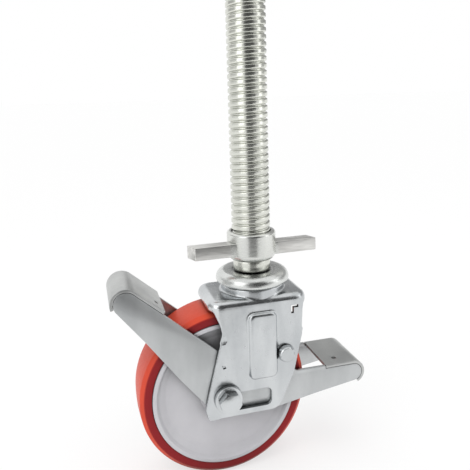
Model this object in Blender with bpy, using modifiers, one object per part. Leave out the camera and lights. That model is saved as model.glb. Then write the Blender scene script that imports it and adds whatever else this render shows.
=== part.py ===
"""Adjustable scaffold castor: threaded spindle with wing nut, swivel fork and rocker that centres the wheel.

The frame stands on the floor under the swivel axis. +Z is up and +X points from the brake pedal to the
release pedal. The wheel turns about Y. At rest it trails behind the swivel axis, towards -X.
"""
import math

import bmesh
import bpy
from mathutils import Matrix, Vector

MM = 0.001

# Fits and clearances
SEAT_GAP = 0.3 * MM
SLIDE_GAP = 0.4 * MM
WHEEL_SIDE_GAP = 0.6 * MM
WHEEL_TOP_GAP = 0.6 * MM
RUNNING_GAP = 1.2 * MM

# Wheel
WHEEL_RADIUS = 75.0 * MM
TYRE_DEPTH = 10.0 * MM
HUB_HALF_WIDTH = 22.3 * MM
HUB_RING_WIDTH = 4.6 * MM
HUB_RECESS = 5.0 * MM
HUB_BOSS_RADIUS = 20.0 * MM
TYRE_HALF_WIDTH = 21.0 * MM
TYRE_SHOULDER = 3.2 * MM
TYRE_CROWN = 0.8 * MM
BEARING_RADIUS = 12.5 * MM
SLEEVE_RADIUS = 8.0 * MM
HUB_RADIUS = WHEEL_RADIUS - TYRE_DEPTH

# Axle and its hardware
AXLE_RADIUS = 5.0 * MM
AXLE_TRAIL = 33.4 * MM
AXLE_DROP = 5.4 * MM
AXLE_TAIL = 2.0 * MM
COLLAR_RADIUS = 12.0 * MM
COLLAR_THICKNESS = 4.5 * MM
HEX_ACROSS_FLATS = 17.0 * MM
HEX_CHAMFER = 1.2 * MM
HEAD_HEIGHT = 6.8 * MM
LOCKNUT_HEIGHT = 9.0 * MM

# Places of the axle at rest behind the swivel axis, and centred under it
AXLE_REST = Vector((-AXLE_TRAIL, WHEEL_RADIUS))
AXLE_CENTRED = Vector((0.0, WHEEL_RADIUS - AXLE_DROP))
AXLE_HOLE_RADIUS = AXLE_RADIUS + SLIDE_GAP

# Side spacing from the wheel outwards
ARM_THICKNESS = 2.8 * MM
FORK_SHEET = 3.5 * MM
ARM_INNER_Y = HUB_HALF_WIDTH + WHEEL_SIDE_GAP
ARM_OUTER_Y = ARM_INNER_Y + ARM_THICKNESS
LEG_INNER_Y = ARM_OUTER_Y + SLIDE_GAP
LEG_OUTER_Y = LEG_INNER_Y + FORK_SHEET

# Hood of the fork, above the wheel
SKIRT_Z = 2.0 * WHEEL_RADIUS + WHEEL_TOP_GAP
SKIRT_HEIGHT = 9.9 * MM
FORK_TOP_Z = SKIRT_Z + SKIRT_HEIGHT
FORK_LEFT_X = -46.5 * MM
FORK_RIGHT_X = 42.5 * MM
FORK_CORNER_RADIUS = 12.0 * MM
FORK_TOP_FILLET = 6.0 * MM
HOOD_Z = FORK_TOP_Z - 33.5 * MM
FLANGE_LEFT_TOP = (-38.4 * MM, HOOD_Z + 14.0 * MM)
FLANGE_LEFT_WAIST = (-36.6 * MM, HOOD_Z + 5.5 * MM)
FLANGE_LEFT_END_X = -39.2 * MM
FLANGE_RIGHT_END_X = 36.2 * MM
FLANGE_RIGHT_TOP = (37.6 * MM, HOOD_Z + 17.6 * MM)
RIB_LEFT_X = -13.4 * MM
RIB_RIGHT_X = 11.6 * MM
RIB_TOP_Z = FORK_TOP_Z - 13.0 * MM
RIB_BOTTOM_Z = WHEEL_RADIUS + 13.5 * MM
RIB_HEIGHT = 3.2 * MM
RIB_CORNER = 5.0 * MM
RIB_DRAFT = 3.0 * MM
RIB_WALL = 3.4 * MM
SLIT_LEFT_X = 26.0 * MM
SLIT_RIGHT_X = 32.4 * MM
SLIT_TOP_Z = FORK_TOP_Z - 10.3 * MM
SLIT_HEIGHT = 7.2 * MM
SLIT_WIDTH = 1.8 * MM

# Legs of the fork, beside the wheel
LEG_BOTTOM_Z = WHEEL_RADIUS - 18.2 * MM
LEG_WAIST_LEFT_X = -33.0 * MM
LEG_WAIST_RIGHT_X = 29.5 * MM
LEG_SHOULDER_LEFT = (-38.6 * MM, HOOD_Z - 3.5 * MM)
LEG_SHOULDER_RIGHT = (36.0 * MM, HOOD_Z - 4.0 * MM)
LEG_FOOT_LEFT = (-53.2 * MM, LEG_BOTTOM_Z + 10.0 * MM)
LEG_HEEL_LEFT = (-50.6 * MM, LEG_BOTTOM_Z - 1.2 * MM)
LEG_BOTTOM_LEFT_X = -40.0 * MM
LEG_BOTTOM_RIGHT_X = 13.0 * MM
LEG_ELBOW_RIGHT = (27.8 * MM, LEG_BOTTOM_Z + 31.4 * MM)
WINDOW_UNDER = 2.0 * MM
WINDOW_OVER = 8.8 * MM
WINDOW_END = 1.1 * MM
WINDOW_SEAT = 4.0 * MM
WINDOW_STEP_X = 9.0 * MM

# Swivel bearing on the fork's top
BOSS_RADIUS = 28.2 * MM
BOSS_HEIGHT = 3.5 * MM
LIP_WIDTH = 2.6 * MM
CAP_RADIUS = 32.8 * MM
CAP_BOTTOM_Z = FORK_TOP_Z + 7.5 * MM
CAP_HEIGHT = 10.2 * MM
CAP_TOP_FILLET = 7.0 * MM
CAP_BOTTOM_FILLET = 2.6 * MM
CAP_RECESS_RADIUS = 26.5 * MM
CAP_RECESS_DEPTH = 3.5 * MM
BALL_COUNT = 14
BALL_CIRCLE_RADIUS = 21.5 * MM
CAGE_WIDTH = 4.0 * MM
CAGE_THICKNESS = 2.0 * MM
LOWER_RACE_RADIUS = 19.0 * MM
LOWER_RACE_DROP = 4.1 * MM
LOWER_RACE_THICKNESS = 2.8 * MM
LOWER_LIP_THICKNESS = 1.4 * MM
LOWER_LIP_HEIGHT = 1.2 * MM
KINGPIN_RADIUS = 8.0 * MM
KINGPIN_HEAD_RADIUS = 13.0 * MM
KINGPIN_HEAD_HEIGHT = 2.8 * MM
KINGPIN_BORE_CLEARANCE = 3.0 * MM
KINGPIN_SOCKET_DEPTH = 11.8 * MM
BOSS_TOP_Z = FORK_TOP_Z + BOSS_HEIGHT
BOSS_UNDER_Z = BOSS_TOP_Z - FORK_SHEET
LIP_TOP_Z = CAP_BOTTOM_Z - RUNNING_GAP
LOWER_RACE_Z = BOSS_UNDER_Z - LOWER_RACE_DROP
CAP_RECESS_Z = CAP_BOTTOM_Z + CAP_RECESS_DEPTH
CAP_TOP_Z = CAP_BOTTOM_Z + CAP_HEIGHT
KINGPIN_TOP_Z = CAP_TOP_Z + KINGPIN_SOCKET_DEPTH

# Spindle with its rolled thread
SPINDLE_RADIUS = 17.2 * MM
SPINDLE_BORE_RADIUS = 12.0 * MM
SPINDLE_LENGTH = 301.5 * MM
SPINDLE_CHAMFER = 1.6 * MM
SPINDLE_FLOOR = 15.0 * MM
NECK_RADIUS = 16.6 * MM
THREAD_PITCH = 6.0 * MM
THREAD_DEPTH = 1.8 * MM
THREAD_CREST = 2.2 * MM
THREAD_STEPS = 18
SPINDLE_SEAT_Z = CAP_TOP_Z + SEAT_GAP
SPINDLE_TOP_Z = SPINDLE_SEAT_Z + SPINDLE_LENGTH
BORE_BOTTOM_Z = KINGPIN_TOP_Z + SPINDLE_FLOOR

# Adjusting nut, resting low on the spindle
NUT_RADIUS = 21.8 * MM
NUT_HEIGHT = 24.8 * MM
NUT_BOTTOM_Z = CAP_TOP_Z + 10.4 * MM
NUT_TOP_FILLET = 2.2 * MM
NUT_BOTTOM_FILLET = 4.0 * MM
BAR_THICKNESS = 12.3 * MM
BAR_HEIGHT = 11.4 * MM
BAR_SLANT = 4.6 * MM
BAR_REACH = 56.5 * MM
LEFT_BAR_Y = -7.2 * MM
RIGHT_BAR_Y = -2.8 * MM
NUT_TOP_Z = NUT_BOTTOM_Z + NUT_HEIGHT
LEFT_BAR_Z = NUT_BOTTOM_Z + 10.8 * MM
RIGHT_BAR_Z = NUT_BOTTOM_Z + 8.3 * MM
THREAD_START_Z = NUT_BOTTOM_Z + THREAD_PITCH

# Rocker: two side arms with a pedal plate over each end
PIVOT = Vector((20.0 * MM, WHEEL_RADIUS + 33.0 * MM))
ROCKER_TRAVEL = math.radians(31.0)
BRAKE_END = Vector((-WHEEL_RADIUS - 40.0 * MM, WHEEL_RADIUS + 93.0 * MM))
BRAKE_END_RADIUS = 10.0 * MM
BRAKE_ARM_ANGLE = math.radians(139.4)
RELEASE_END = Vector((WHEEL_RADIUS + 13.0 * MM, WHEEL_RADIUS + 0.9 * MM))
RELEASE_END_RADIUS = 8.0 * MM
ARM_NECK_LENGTH = 101.0 * MM
ARM_BRAKE_CORNER = BRAKE_END + Vector((14.5, -34.5)) * MM
ARM_BRAKE_HOLLOW = (-72.0 * MM, WHEEL_RADIUS + 19.6 * MM)
ARM_FOOT_SLOPE = (-45.5 * MM, WHEEL_RADIUS - 13.0 * MM)
ARM_FOOT_LEFT_X = -36.0 * MM
ARM_FOOT_RIGHT_X = 8.0 * MM
ARM_FOOT_Z = WHEEL_RADIUS - 19.6 * MM
ARM_RELEASE_CORNER = RELEASE_END + Vector((-38.6, -13.6)) * MM
ARM_STEP_END_X = 36.0 * MM
PEDAL_SHEET = 2.6 * MM
BRAKE_PEDAL_LENGTH = 31.0 * MM
BRAKE_CURL = math.radians(150.0)
RELEASE_PEDAL_LENGTH = 28.0 * MM
RELEASE_CURL = math.radians(155.0)
PEDAL_HOLE_RADIUS = 2.2 * MM
PEDAL_HOLE_SIDE = -14.0 * MM
BRAKE_HOLE_INSET = 7.8 * MM
RELEASE_HOLE_INSET = 13.0 * MM
PIN_RADIUS = 5.0 * MM
PIN_FLANGE_RADIUS = 7.6 * MM
PIN_FACE_RADIUS = 5.8 * MM
PIN_HEAD_HEIGHT = 5.5 * MM
PIN_LAND = 12.0 * MM
PIN_HOLE_RADIUS = PIN_RADIUS + SEAT_GAP

# Fineness of round surfaces
ROUND = 48
SMALL_ROUND = 24


def make_collection(name):
    collection = bpy.data.collections.new(name)
    bpy.context.scene.collection.children.link(collection)
    return collection


def make_material(name, colour, roughness, metallic):
    material = bpy.data.materials.new(name)
    material.use_nodes = True
    shader = material.node_tree.nodes["Principled BSDF"]
    shader.inputs["Base Color"].default_value = (*colour, 1.0)
    shader.inputs["Roughness"].default_value = roughness
    shader.inputs["Metallic"].default_value = metallic
    return material


def add_object(name, mesh, collection):
    item = bpy.data.objects.new(name, mesh)
    collection.objects.link(item)
    return item


def boolean(item, tool, operation):
    tool.hide_render = True
    tool.display_type = "WIRE"
    modifier = item.modifiers.new(operation.title() + " " + tool.name, "BOOLEAN")
    modifier.operation = operation
    modifier.solver = "EXACT"
    modifier.object = tool


def join(item, tool):
    boolean(item, tool, "UNION")


def cut(item, tool):
    boolean(item, tool, "DIFFERENCE")


def shade(item, degrees=35.0):
    item.data.shade_smooth()
    item.data.set_sharp_from_angle(angle=math.radians(degrees))


def turned(name, profile, collection, steps=ROUND, centre=(0.0, 0.0, 0.0), along_y=False, closed=True):
    """Turn a profile of (radius, height) points about its axis. Closed profiles make rings."""
    mesh = bpy.data.meshes.new(name)
    edges = [(i, i + 1) for i in range(len(profile) - 1)]
    if closed:
        edges.append((len(profile) - 1, 0))
    mesh.from_pydata([(r, 0.0, h) for r, h in profile], edges, [])
    item = add_object(name, mesh, collection)
    screw = item.modifiers.new("Turn", "SCREW")
    screw.steps = steps
    screw.render_steps = steps
    screw.use_merge_vertices = True
    screw.merge_threshold = 0.00001
    screw.use_smooth_shade = True
    item.location = centre
    if along_y:
        item.rotation_euler = (math.radians(90.0), 0.0, 0.0)
    return item


def rounded(corners, arc_steps=5):
    """Outline through (x, z, radius) corners, each replaced by an arc of its radius."""
    points = []
    count = len(corners)
    for i, (x, z, radius) in enumerate(corners):
        here = Vector((x, z))
        before = Vector(corners[i - 1][:2]) - here
        after = Vector(corners[(i + 1) % count][:2]) - here
        if radius <= 0.0:
            points.append(here)
            continue
        angle = before.angle(after)
        reach = min(radius / math.tan(angle / 2.0), 0.49 * before.length, 0.49 * after.length)
        radius = reach * math.tan(angle / 2.0)
        bisector = (before.normalized() + after.normalized()).normalized()
        centre = here + bisector * (radius / math.sin(angle / 2.0))
        start = here + before.normalized() * reach - centre
        end = here + after.normalized() * reach - centre
        sweep = math.atan2(start.x * end.y - start.y * end.x, start.dot(end))
        for k in range(arc_steps + 1):
            points.append(centre + Matrix.Rotation(sweep * k / arc_steps, 2) @ start)
    return points


def circle(centre, radius, steps=SMALL_ROUND):
    return [Vector(centre) + Vector((math.cos(a), math.sin(a))) * radius
            for a in (2.0 * math.pi * k / steps for k in range(steps))]


def arc(centre, radius, start, end, steps):
    return [Vector(centre) + Vector((math.cos(a), math.sin(a))) * radius
            for a in (start + (end - start) * k / steps for k in range(steps + 1))]


def fillet(radius, z, size, steps):
    """Round corner of a turned profile, at its top, or at its foot where the size is negative."""
    reach = abs(size)
    start = math.pi / 2.0 if size > 0.0 else 0.0
    curve = arc((radius - reach, z - size), reach, start, start - math.pi / 2.0, steps)
    return [tuple(point) for point in curve]


def ribbon(path, half_width, round_ends=False, steps=8):
    """Outline of a band that follows a path, with square or round ends."""
    left = []
    right = []
    last = len(path) - 1
    for i, point in enumerate(path):
        along = (path[min(i + 1, last)] - path[max(i - 1, 0)]).normalized()
        side = Vector((-along.y, along.x)) * half_width
        left.append(point + side)
        right.append(point - side)
    if not round_ends:
        return left + right[::-1]
    turns = [Matrix.Rotation(-math.pi * k / steps, 2) for k in range(1, steps)]
    tail = [path[-1] + turn @ (left[-1] - path[-1]) for turn in turns]
    head = [path[0] + turn @ (right[0] - path[0]) for turn in turns]
    return left + tail + right[::-1] + head


def slab(name, outlines, low, high, collection, upright=True):
    """Flat outline with holes, given thickness. An upright slab lies in XZ between two Y values."""
    curve = bpy.data.curves.new(name, "CURVE")
    curve.dimensions = "2D"
    curve.fill_mode = "BOTH"
    curve.extrude = (high - low) / 2.0
    for outline in outlines:
        spline = curve.splines.new("POLY")
        spline.points.add(len(outline) - 1)
        spline.use_cyclic_u = True
        for point, place in zip(spline.points, outline):
            point.co = (place[0], place[1], 0.0, 1.0)
    guide = bpy.data.objects.new(name + "_outline", curve)
    collection.objects.link(guide)
    middle = (low + high) / 2.0
    if upright:
        guide.matrix_world = Matrix.Translation((0.0, middle, 0.0)) @ Matrix.Rotation(math.pi / 2.0, 4, "X")
    else:
        guide.matrix_world = Matrix.Translation((0.0, 0.0, middle))
    bpy.context.view_layer.update()
    shape = guide.evaluated_get(bpy.context.evaluated_depsgraph_get())
    mesh = bpy.data.meshes.new_from_object(shape)
    mesh.name = name
    body = bmesh.new()
    body.from_mesh(mesh)
    bmesh.ops.remove_doubles(body, verts=body.verts, dist=0.00001)
    bmesh.ops.dissolve_limit(body, angle_limit=math.radians(1.0), verts=body.verts, edges=body.edges)
    body.transform(guide.matrix_world)
    bmesh.ops.recalc_face_normals(body, faces=body.faces)
    body.to_mesh(mesh)
    body.free()
    bpy.data.objects.remove(guide)
    return add_object(name, mesh, collection)


def set_origin(item, place):
    """Move the object's origin without moving its surface."""
    shift = Vector(place)
    item.data.transform(Matrix.Translation(-shift))
    item.location = shift


def box(name, low, high, collection):
    mesh = bpy.data.meshes.new(name)
    body = bmesh.new()
    bmesh.ops.create_cube(body, size=1.0)
    size = Vector(high) - Vector(low)
    middle = (Vector(high) + Vector(low)) / 2.0
    body.transform(Matrix.Translation(middle) @ Matrix.Diagonal((*size, 1.0)))
    body.to_mesh(mesh)
    body.free()
    return add_object(name, mesh, collection)


def bevel(item, width, segments, angle=50.0):
    modifier = item.modifiers.new("Rounded edges", "BEVEL")
    modifier.width = width
    modifier.segments = segments
    modifier.limit_method = "ANGLE"
    modifier.angle_limit = math.radians(angle)
    modifier.use_clamp_overlap = True


def turn_about_pivot(point, angle):
    return PIVOT + Matrix.Rotation(angle, 2) @ (point - PIVOT)


def build_wheel(parts, tools):
    centre = (AXLE_REST.x, 0.0, AXLE_REST.y)
    half = HUB_HALF_WIDTH
    floor = half - HUB_RECESS
    ring = HUB_RADIUS - HUB_RING_WIDTH
    bore = BEARING_RADIUS + SEAT_GAP
    side = [(HUB_RADIUS - 0.8 * MM, half), (HUB_RADIUS, half - 0.8 * MM)]
    draft = 1.5 * MM
    inward = [(bore, half), (HUB_BOSS_RADIUS, half), (HUB_BOSS_RADIUS + draft, floor), (ring - draft, floor),
              (ring, half)]
    profile = side + [(r, -h) for r, h in reversed(side)] + [(r, -h) for r, h in reversed(inward)] + inward
    hub = turned("wheel_hub", profile, parts, centre=centre, along_y=True)
    inner = HUB_RADIUS + SEAT_GAP
    edge = TYRE_HALF_WIDTH
    tread_edge = WHEEL_RADIUS - TYRE_CROWN
    shoulder = [(tread_edge, edge - TYRE_SHOULDER), (tread_edge - 0.9 * MM, edge - 1.2 * MM),
                (tread_edge - TYRE_SHOULDER, edge)]
    tread = [(inner, edge)] + shoulder[::-1] + [(WHEEL_RADIUS, 0.0)]
    profile = tread + [(r, -h) for r, h in reversed(tread[:-1])]
    tyre = turned("tyre", profile, parts, centre=centre, along_y=True)
    profile = [(BEARING_RADIUS, half), (BEARING_RADIUS, -half), (SLEEVE_RADIUS + SEAT_GAP, -half),
               (SLEEVE_RADIUS + SEAT_GAP, half)]
    bearing = turned("wheel_bearing", profile, parts, SMALL_ROUND, centre, along_y=True)
    return hub, tyre, bearing


def build_axle(parts, tools):
    centre = (AXLE_REST.x, 0.0, AXLE_REST.y)
    sleeve_end = ARM_INNER_Y - SEAT_GAP
    bore = AXLE_RADIUS + SEAT_GAP
    profile = [(SLEEVE_RADIUS, sleeve_end), (SLEEVE_RADIUS, -sleeve_end), (bore, -sleeve_end),
               (bore, sleeve_end)]
    sleeve = turned("axle_sleeve", profile, parts, SMALL_ROUND, centre, along_y=True)
    collar_in = LEG_OUTER_Y + SEAT_GAP
    collar_out = collar_in + COLLAR_THICKNESS
    head_in = collar_out + SEAT_GAP
    collars = []
    for name, sign in (("axle_collar_near", 1.0), ("axle_collar_far", -1.0)):
        profile = [(COLLAR_RADIUS - 0.8 * MM, collar_out), (COLLAR_RADIUS, collar_out - 0.8 * MM),
                   (COLLAR_RADIUS, collar_in), (bore, collar_in), (bore, collar_out)]
        collar = turned(name, profile, parts, SMALL_ROUND, centre, along_y=True)
        if sign < 0.0:
            collar.rotation_euler = (math.radians(-90.0), 0.0, 0.0)
        collars.append(collar)
    corner = HEX_ACROSS_FLATS / math.sqrt(3.0)
    bolt = hexagon("axle_bolt", corner, -head_in - HEAD_HEIGHT, -head_in, parts)
    tail = head_in + LOCKNUT_HEIGHT + AXLE_TAIL
    root = head_in + HEAD_HEIGHT / 2.0
    profile = [(0.0, root), (AXLE_RADIUS, root), (AXLE_RADIUS, -tail + 0.8 * MM),
               (AXLE_RADIUS - 0.8 * MM, -tail), (0.0, -tail)]
    shank = turned("axle_shank", profile, tools, SMALL_ROUND, centre, along_y=True, closed=False)
    join(bolt, shank)
    nut = hexagon("axle_locknut", corner, head_in, head_in + LOCKNUT_HEIGHT, parts)
    profile = [(0.0, 0.0), (bore, 0.0), (bore, -2.0 * tail), (0.0, -2.0 * tail)]
    hole = turned("axle_locknut_hole", profile, tools, SMALL_ROUND, centre, along_y=True, closed=False)
    cut(nut, hole)
    return sleeve, *collars, bolt, nut


def hexagon(name, corner, low, high, collection):
    """Hexagonal head or nut on the axle, chamfered on its outer face."""
    middle = (low + high) / 2.0
    body = bmesh.new()
    bmesh.ops.create_cone(body, cap_ends=True, segments=6, radius1=corner, radius2=corner, depth=high - low)
    rim = [edge for edge in body.edges if all(vert.co.z > 0.0 for vert in edge.verts)]
    bmesh.ops.bevel(body, geom=rim, offset=HEX_CHAMFER, segments=1, affect="EDGES")
    outward = math.copysign(math.radians(90.0), -middle)
    turn = Matrix.Rotation(outward, 4, "X") @ Matrix.Rotation(math.radians(20.0), 4, "Z")
    body.transform(Matrix.Translation((0.0, middle, 0.0)) @ turn)
    mesh = bpy.data.meshes.new(name)
    body.to_mesh(mesh)
    body.free()
    item = add_object(name, mesh, collection)
    item.location = (AXLE_REST.x, 0.0, AXLE_REST.y)
    return item


def fork_leg_outline():
    """Side view of one leg, from inside the hood down to its foot."""
    hidden_z = HOOD_Z + 14.0 * MM
    return rounded([
        (LEG_WAIST_LEFT_X, hidden_z, 0.0),
        (LEG_WAIST_LEFT_X, HOOD_Z + 1.0 * MM, 3.0 * MM),
        (*LEG_SHOULDER_LEFT, 3.0 * MM),
        (*LEG_FOOT_LEFT, 6.0 * MM),
        (*LEG_HEEL_LEFT, 5.0 * MM),
        (LEG_BOTTOM_LEFT_X, LEG_BOTTOM_Z, 8.0 * MM),
        (LEG_BOTTOM_RIGHT_X, LEG_BOTTOM_Z, 12.0 * MM),
        (*LEG_ELBOW_RIGHT, 30.0 * MM),
        (*LEG_SHOULDER_RIGHT, 0.0),
        (LEG_SHOULDER_RIGHT[0] + 0.6 * MM, HOOD_Z + 1.0 * MM, 0.0),
        (LEG_WAIST_RIGHT_X, hidden_z, 0.0),
    ])


def fork_hood_outline():
    """Side view of the drawn top: short skirts at both ends, and a flange that runs out down each leg."""
    left = FORK_LEFT_X - 10.0 * MM
    right = FORK_RIGHT_X + 10.0 * MM
    above = FORK_TOP_Z + 10.0 * MM
    below = HOOD_Z - 3.0 * MM
    return rounded([
        (left, above, 0.0),
        (left, SKIRT_Z + 1.5 * MM, 0.0),
        (FORK_LEFT_X + FORK_SHEET, SKIRT_Z + 1.0 * MM, 2.0 * MM),
        (*FLANGE_LEFT_TOP, 12.0 * MM),
        (*FLANGE_LEFT_WAIST, 8.0 * MM),
        (FLANGE_LEFT_END_X, below, 0.0),
        (FLANGE_RIGHT_END_X, below, 0.0),
        (*FLANGE_RIGHT_TOP, 6.0 * MM),
        (FORK_RIGHT_X - FORK_SHEET, SKIRT_Z, 2.0 * MM),
        (right, SKIRT_Z, 0.0),
        (right, above, 0.0),
    ])


def rectangle(left, right, low, high, radius):
    return rounded([(left, low, radius), (right, low, radius), (right, high, radius), (left, high, radius)])


def axle_window():
    """Slot of one leg: a raised seat at its left end, where the load holds the axle, then a wide window."""
    top = AXLE_REST.y + AXLE_HOLE_RADIUS
    low = AXLE_CENTRED.y - AXLE_HOLE_RADIUS - WINDOW_UNDER
    window_top = AXLE_CENTRED.y + WINDOW_OVER
    left = AXLE_REST.x - AXLE_HOLE_RADIUS
    right = AXLE_CENTRED.x + AXLE_HOLE_RADIUS + WINDOW_END
    step = left + WINDOW_STEP_X
    return rounded([(left, AXLE_REST.y - WINDOW_SEAT, 4.0 * MM), (step, low + WINDOW_SEAT, 3.0 * MM),
                    (step + 6.0 * MM, low, 3.0 * MM), (right, low, 5.0 * MM), (right, window_top, 5.0 * MM),
                    (step + 9.0 * MM, window_top, 3.0 * MM), (step + 4.0 * MM, top, 3.0 * MM),
                    (left, top, 5.2 * MM)])


def build_fork(parts, tools):
    through = LEG_OUTER_Y + 5.0 * MM
    hood_plan = rectangle(FORK_LEFT_X, FORK_RIGHT_X, -LEG_OUTER_Y, LEG_OUTER_Y, FORK_CORNER_RADIUS)
    fork = slab("fork_housing", [hood_plan], HOOD_Z - 20.0 * MM, FORK_TOP_Z, parts, upright=False)
    bevel(fork, FORK_TOP_FILLET, 4, 60.0)
    trim = slab("fork_trim", [fork_hood_outline()], -through, through, tools)
    boolean(fork, trim, "INTERSECT")
    legs = slab("fork_legs", [fork_leg_outline()], -LEG_OUTER_Y, LEG_OUTER_Y, tools)
    join(fork, legs)
    rib_reach = LEG_OUTER_Y + RIB_HEIGHT
    rib = slab("fork_rib", [rectangle(RIB_LEFT_X, RIB_RIGHT_X, RIB_BOTTOM_Z, RIB_TOP_Z, RIB_CORNER)],
               -rib_reach, rib_reach, tools)
    bevel(rib, RIB_DRAFT, 2, 60.0)
    join(fork, rib)
    lip_radius = BOSS_RADIUS - LIP_WIDTH
    boss_base = FORK_TOP_Z - 3.0 * MM
    boss_profile = [(0.0, BOSS_TOP_Z), (lip_radius, BOSS_TOP_Z), (lip_radius, LIP_TOP_Z),
                    (BOSS_RADIUS - 0.6 * MM, LIP_TOP_Z), (BOSS_RADIUS, LIP_TOP_Z - 0.6 * MM),
                    (BOSS_RADIUS, boss_base), (0.0, boss_base)]
    boss = turned("fork_boss", boss_profile, tools, closed=False)
    join(fork, boss)
    inner_plan = rectangle(FORK_LEFT_X + FORK_SHEET, FORK_RIGHT_X - FORK_SHEET, -LEG_INNER_Y, LEG_INNER_Y,
                           FORK_CORNER_RADIUS - FORK_SHEET)
    roof_z = FORK_TOP_Z - FORK_SHEET
    inside = slab("fork_inside", [inner_plan], LEG_BOTTOM_Z - 40.0 * MM, roof_z, tools, upright=False)
    bevel(inside, FORK_TOP_FILLET - FORK_SHEET, 2, 60.0)
    cut(fork, inside)
    between = box("fork_between", (-90.0 * MM, -LEG_INNER_Y, LEG_BOTTOM_Z - 30.0 * MM),
                  (90.0 * MM, LEG_INNER_Y, HOOD_Z), tools)
    cut(fork, between)
    hollow = rectangle(RIB_LEFT_X + RIB_WALL, RIB_RIGHT_X - RIB_WALL, RIB_BOTTOM_Z + RIB_WALL,
                       RIB_TOP_Z - RIB_WALL, RIB_CORNER / 2.0)
    pocket = slab("fork_rib_pocket", [hollow], -LEG_OUTER_Y, LEG_OUTER_Y, tools)
    cut(fork, pocket)
    dish_radius = lip_radius - 1.0 * MM
    below = roof_z - 3.0 * MM
    dish_profile = [(0.0, BOSS_UNDER_Z), (dish_radius - BOSS_HEIGHT, BOSS_UNDER_Z), (dish_radius, roof_z),
                    (dish_radius, below), (0.0, below)]
    dish = turned("fork_dish", dish_profile, tools, closed=False)
    cut(fork, dish)
    bore_radius = KINGPIN_RADIUS + KINGPIN_BORE_CLEARANCE
    bore_profile = [(0.0, BOSS_TOP_Z + 5.0 * MM), (bore_radius, BOSS_TOP_Z + 5.0 * MM),
                    (bore_radius, BOSS_UNDER_Z - 5.0 * MM), (0.0, BOSS_UNDER_Z - 5.0 * MM)]
    cut(fork, turned("fork_bore", bore_profile, tools, SMALL_ROUND, closed=False))
    cut(fork, slab("fork_axle_window", [axle_window()], -through, through, tools))
    cut(fork, slab("fork_pin_hole", [circle(PIVOT, PIN_HOLE_RADIUS)], -through, through, tools))
    cut(fork, slab("fork_slit", [slit_outline()], -through, -LEG_INNER_Y + 1.0 * MM, tools))
    return fork


def slit_outline():
    low = SLIT_TOP_Z - SLIT_HEIGHT
    inner_x = SLIT_LEFT_X + SLIT_WIDTH
    inner_z = SLIT_TOP_Z - SLIT_WIDTH
    return [(SLIT_LEFT_X, SLIT_TOP_Z), (SLIT_LEFT_X, low), (inner_x, low), (inner_x, inner_z),
            (SLIT_RIGHT_X, inner_z), (SLIT_RIGHT_X, SLIT_TOP_Z)]


def build_pins(parts):
    pins = []
    for name, sign in (("pivot_pin_near", 1.0), ("pivot_pin_far", -1.0)):
        seat = LEG_OUTER_Y + SEAT_GAP
        profile = [(0.0, seat + PIN_HEAD_HEIGHT), (PIN_FACE_RADIUS, seat + PIN_HEAD_HEIGHT),
                   (PIN_FACE_RADIUS + 0.8 * MM, seat + PIN_HEAD_HEIGHT - 1.2 * MM),
                   (PIN_FLANGE_RADIUS, seat + 1.4 * MM), (PIN_FLANGE_RADIUS, seat), (PIN_RADIUS, seat),
                   (PIN_RADIUS, ARM_INNER_Y), (0.0, ARM_INNER_Y)]
        pin = turned(name, profile, parts, SMALL_ROUND, (PIVOT.x, 0.0, PIVOT.y), along_y=True, closed=False)
        if sign < 0.0:
            pin.rotation_euler = (math.radians(-90.0), 0.0, 0.0)
        pins.append(pin)
    return pins


def arm_outline():
    along = Vector((math.cos(BRAKE_ARM_ANGLE), math.sin(BRAKE_ARM_ANGLE)))
    up = Vector((along.y, -along.x))
    edge = BRAKE_END + up * BRAKE_END_RADIUS
    crook = edge - along * ARM_NECK_LENGTH
    start = math.atan2(up.y, up.x)
    brake_arc = arc(BRAKE_END, BRAKE_END_RADIUS, start, start + math.radians(165.0), 12)
    release_top = RELEASE_END.y + RELEASE_END_RADIUS
    step = release_top + PEDAL_SHEET + SEAT_GAP
    release_arc = arc(RELEASE_END, RELEASE_END_RADIUS, -math.radians(82.0), math.pi / 2.0, 10)
    lower = rounded([(*ARM_BRAKE_CORNER, 0.0), (*ARM_BRAKE_HOLLOW, 60.0 * MM), (*ARM_FOOT_SLOPE, 12.0 * MM),
                     (ARM_FOOT_LEFT_X, ARM_FOOT_Z, 10.0 * MM), (ARM_FOOT_RIGHT_X, ARM_FOOT_Z, 20.0 * MM),
                     (*ARM_RELEASE_CORNER, 0.0)])
    pedal_x = RELEASE_END.x - RELEASE_PEDAL_LENGTH
    land_right = PIVOT.x + PIN_LAND - 1.5 * MM
    upper = rounded([(pedal_x, release_top, 0.0),
                     (pedal_x, step, 1.0 * MM),
                     (ARM_STEP_END_X, step + 0.3 * MM, 6.0 * MM),
                     (land_right, PIVOT.y - PIN_LAND / 2.0, 8.0 * MM),
                     (land_right, PIVOT.y + PIN_LAND, 11.0 * MM),
                     (PIVOT.x - PIN_LAND, PIVOT.y + PIN_LAND, 11.0 * MM),
                     (crook.x, crook.y, 20.0 * MM),
                     (edge.x, edge.y, 0.0)])
    return brake_arc + lower + release_arc + upper[:-1]


def cam_path(steps=12):
    """Path of the axle seen from the rocker, while both move at a steady ratio."""
    shares = [k / steps for k in range(steps + 1)]
    return [turn_about_pivot(AXLE_REST.lerp(AXLE_CENTRED, part), -ROCKER_TRAVEL * part) for part in shares]


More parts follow.
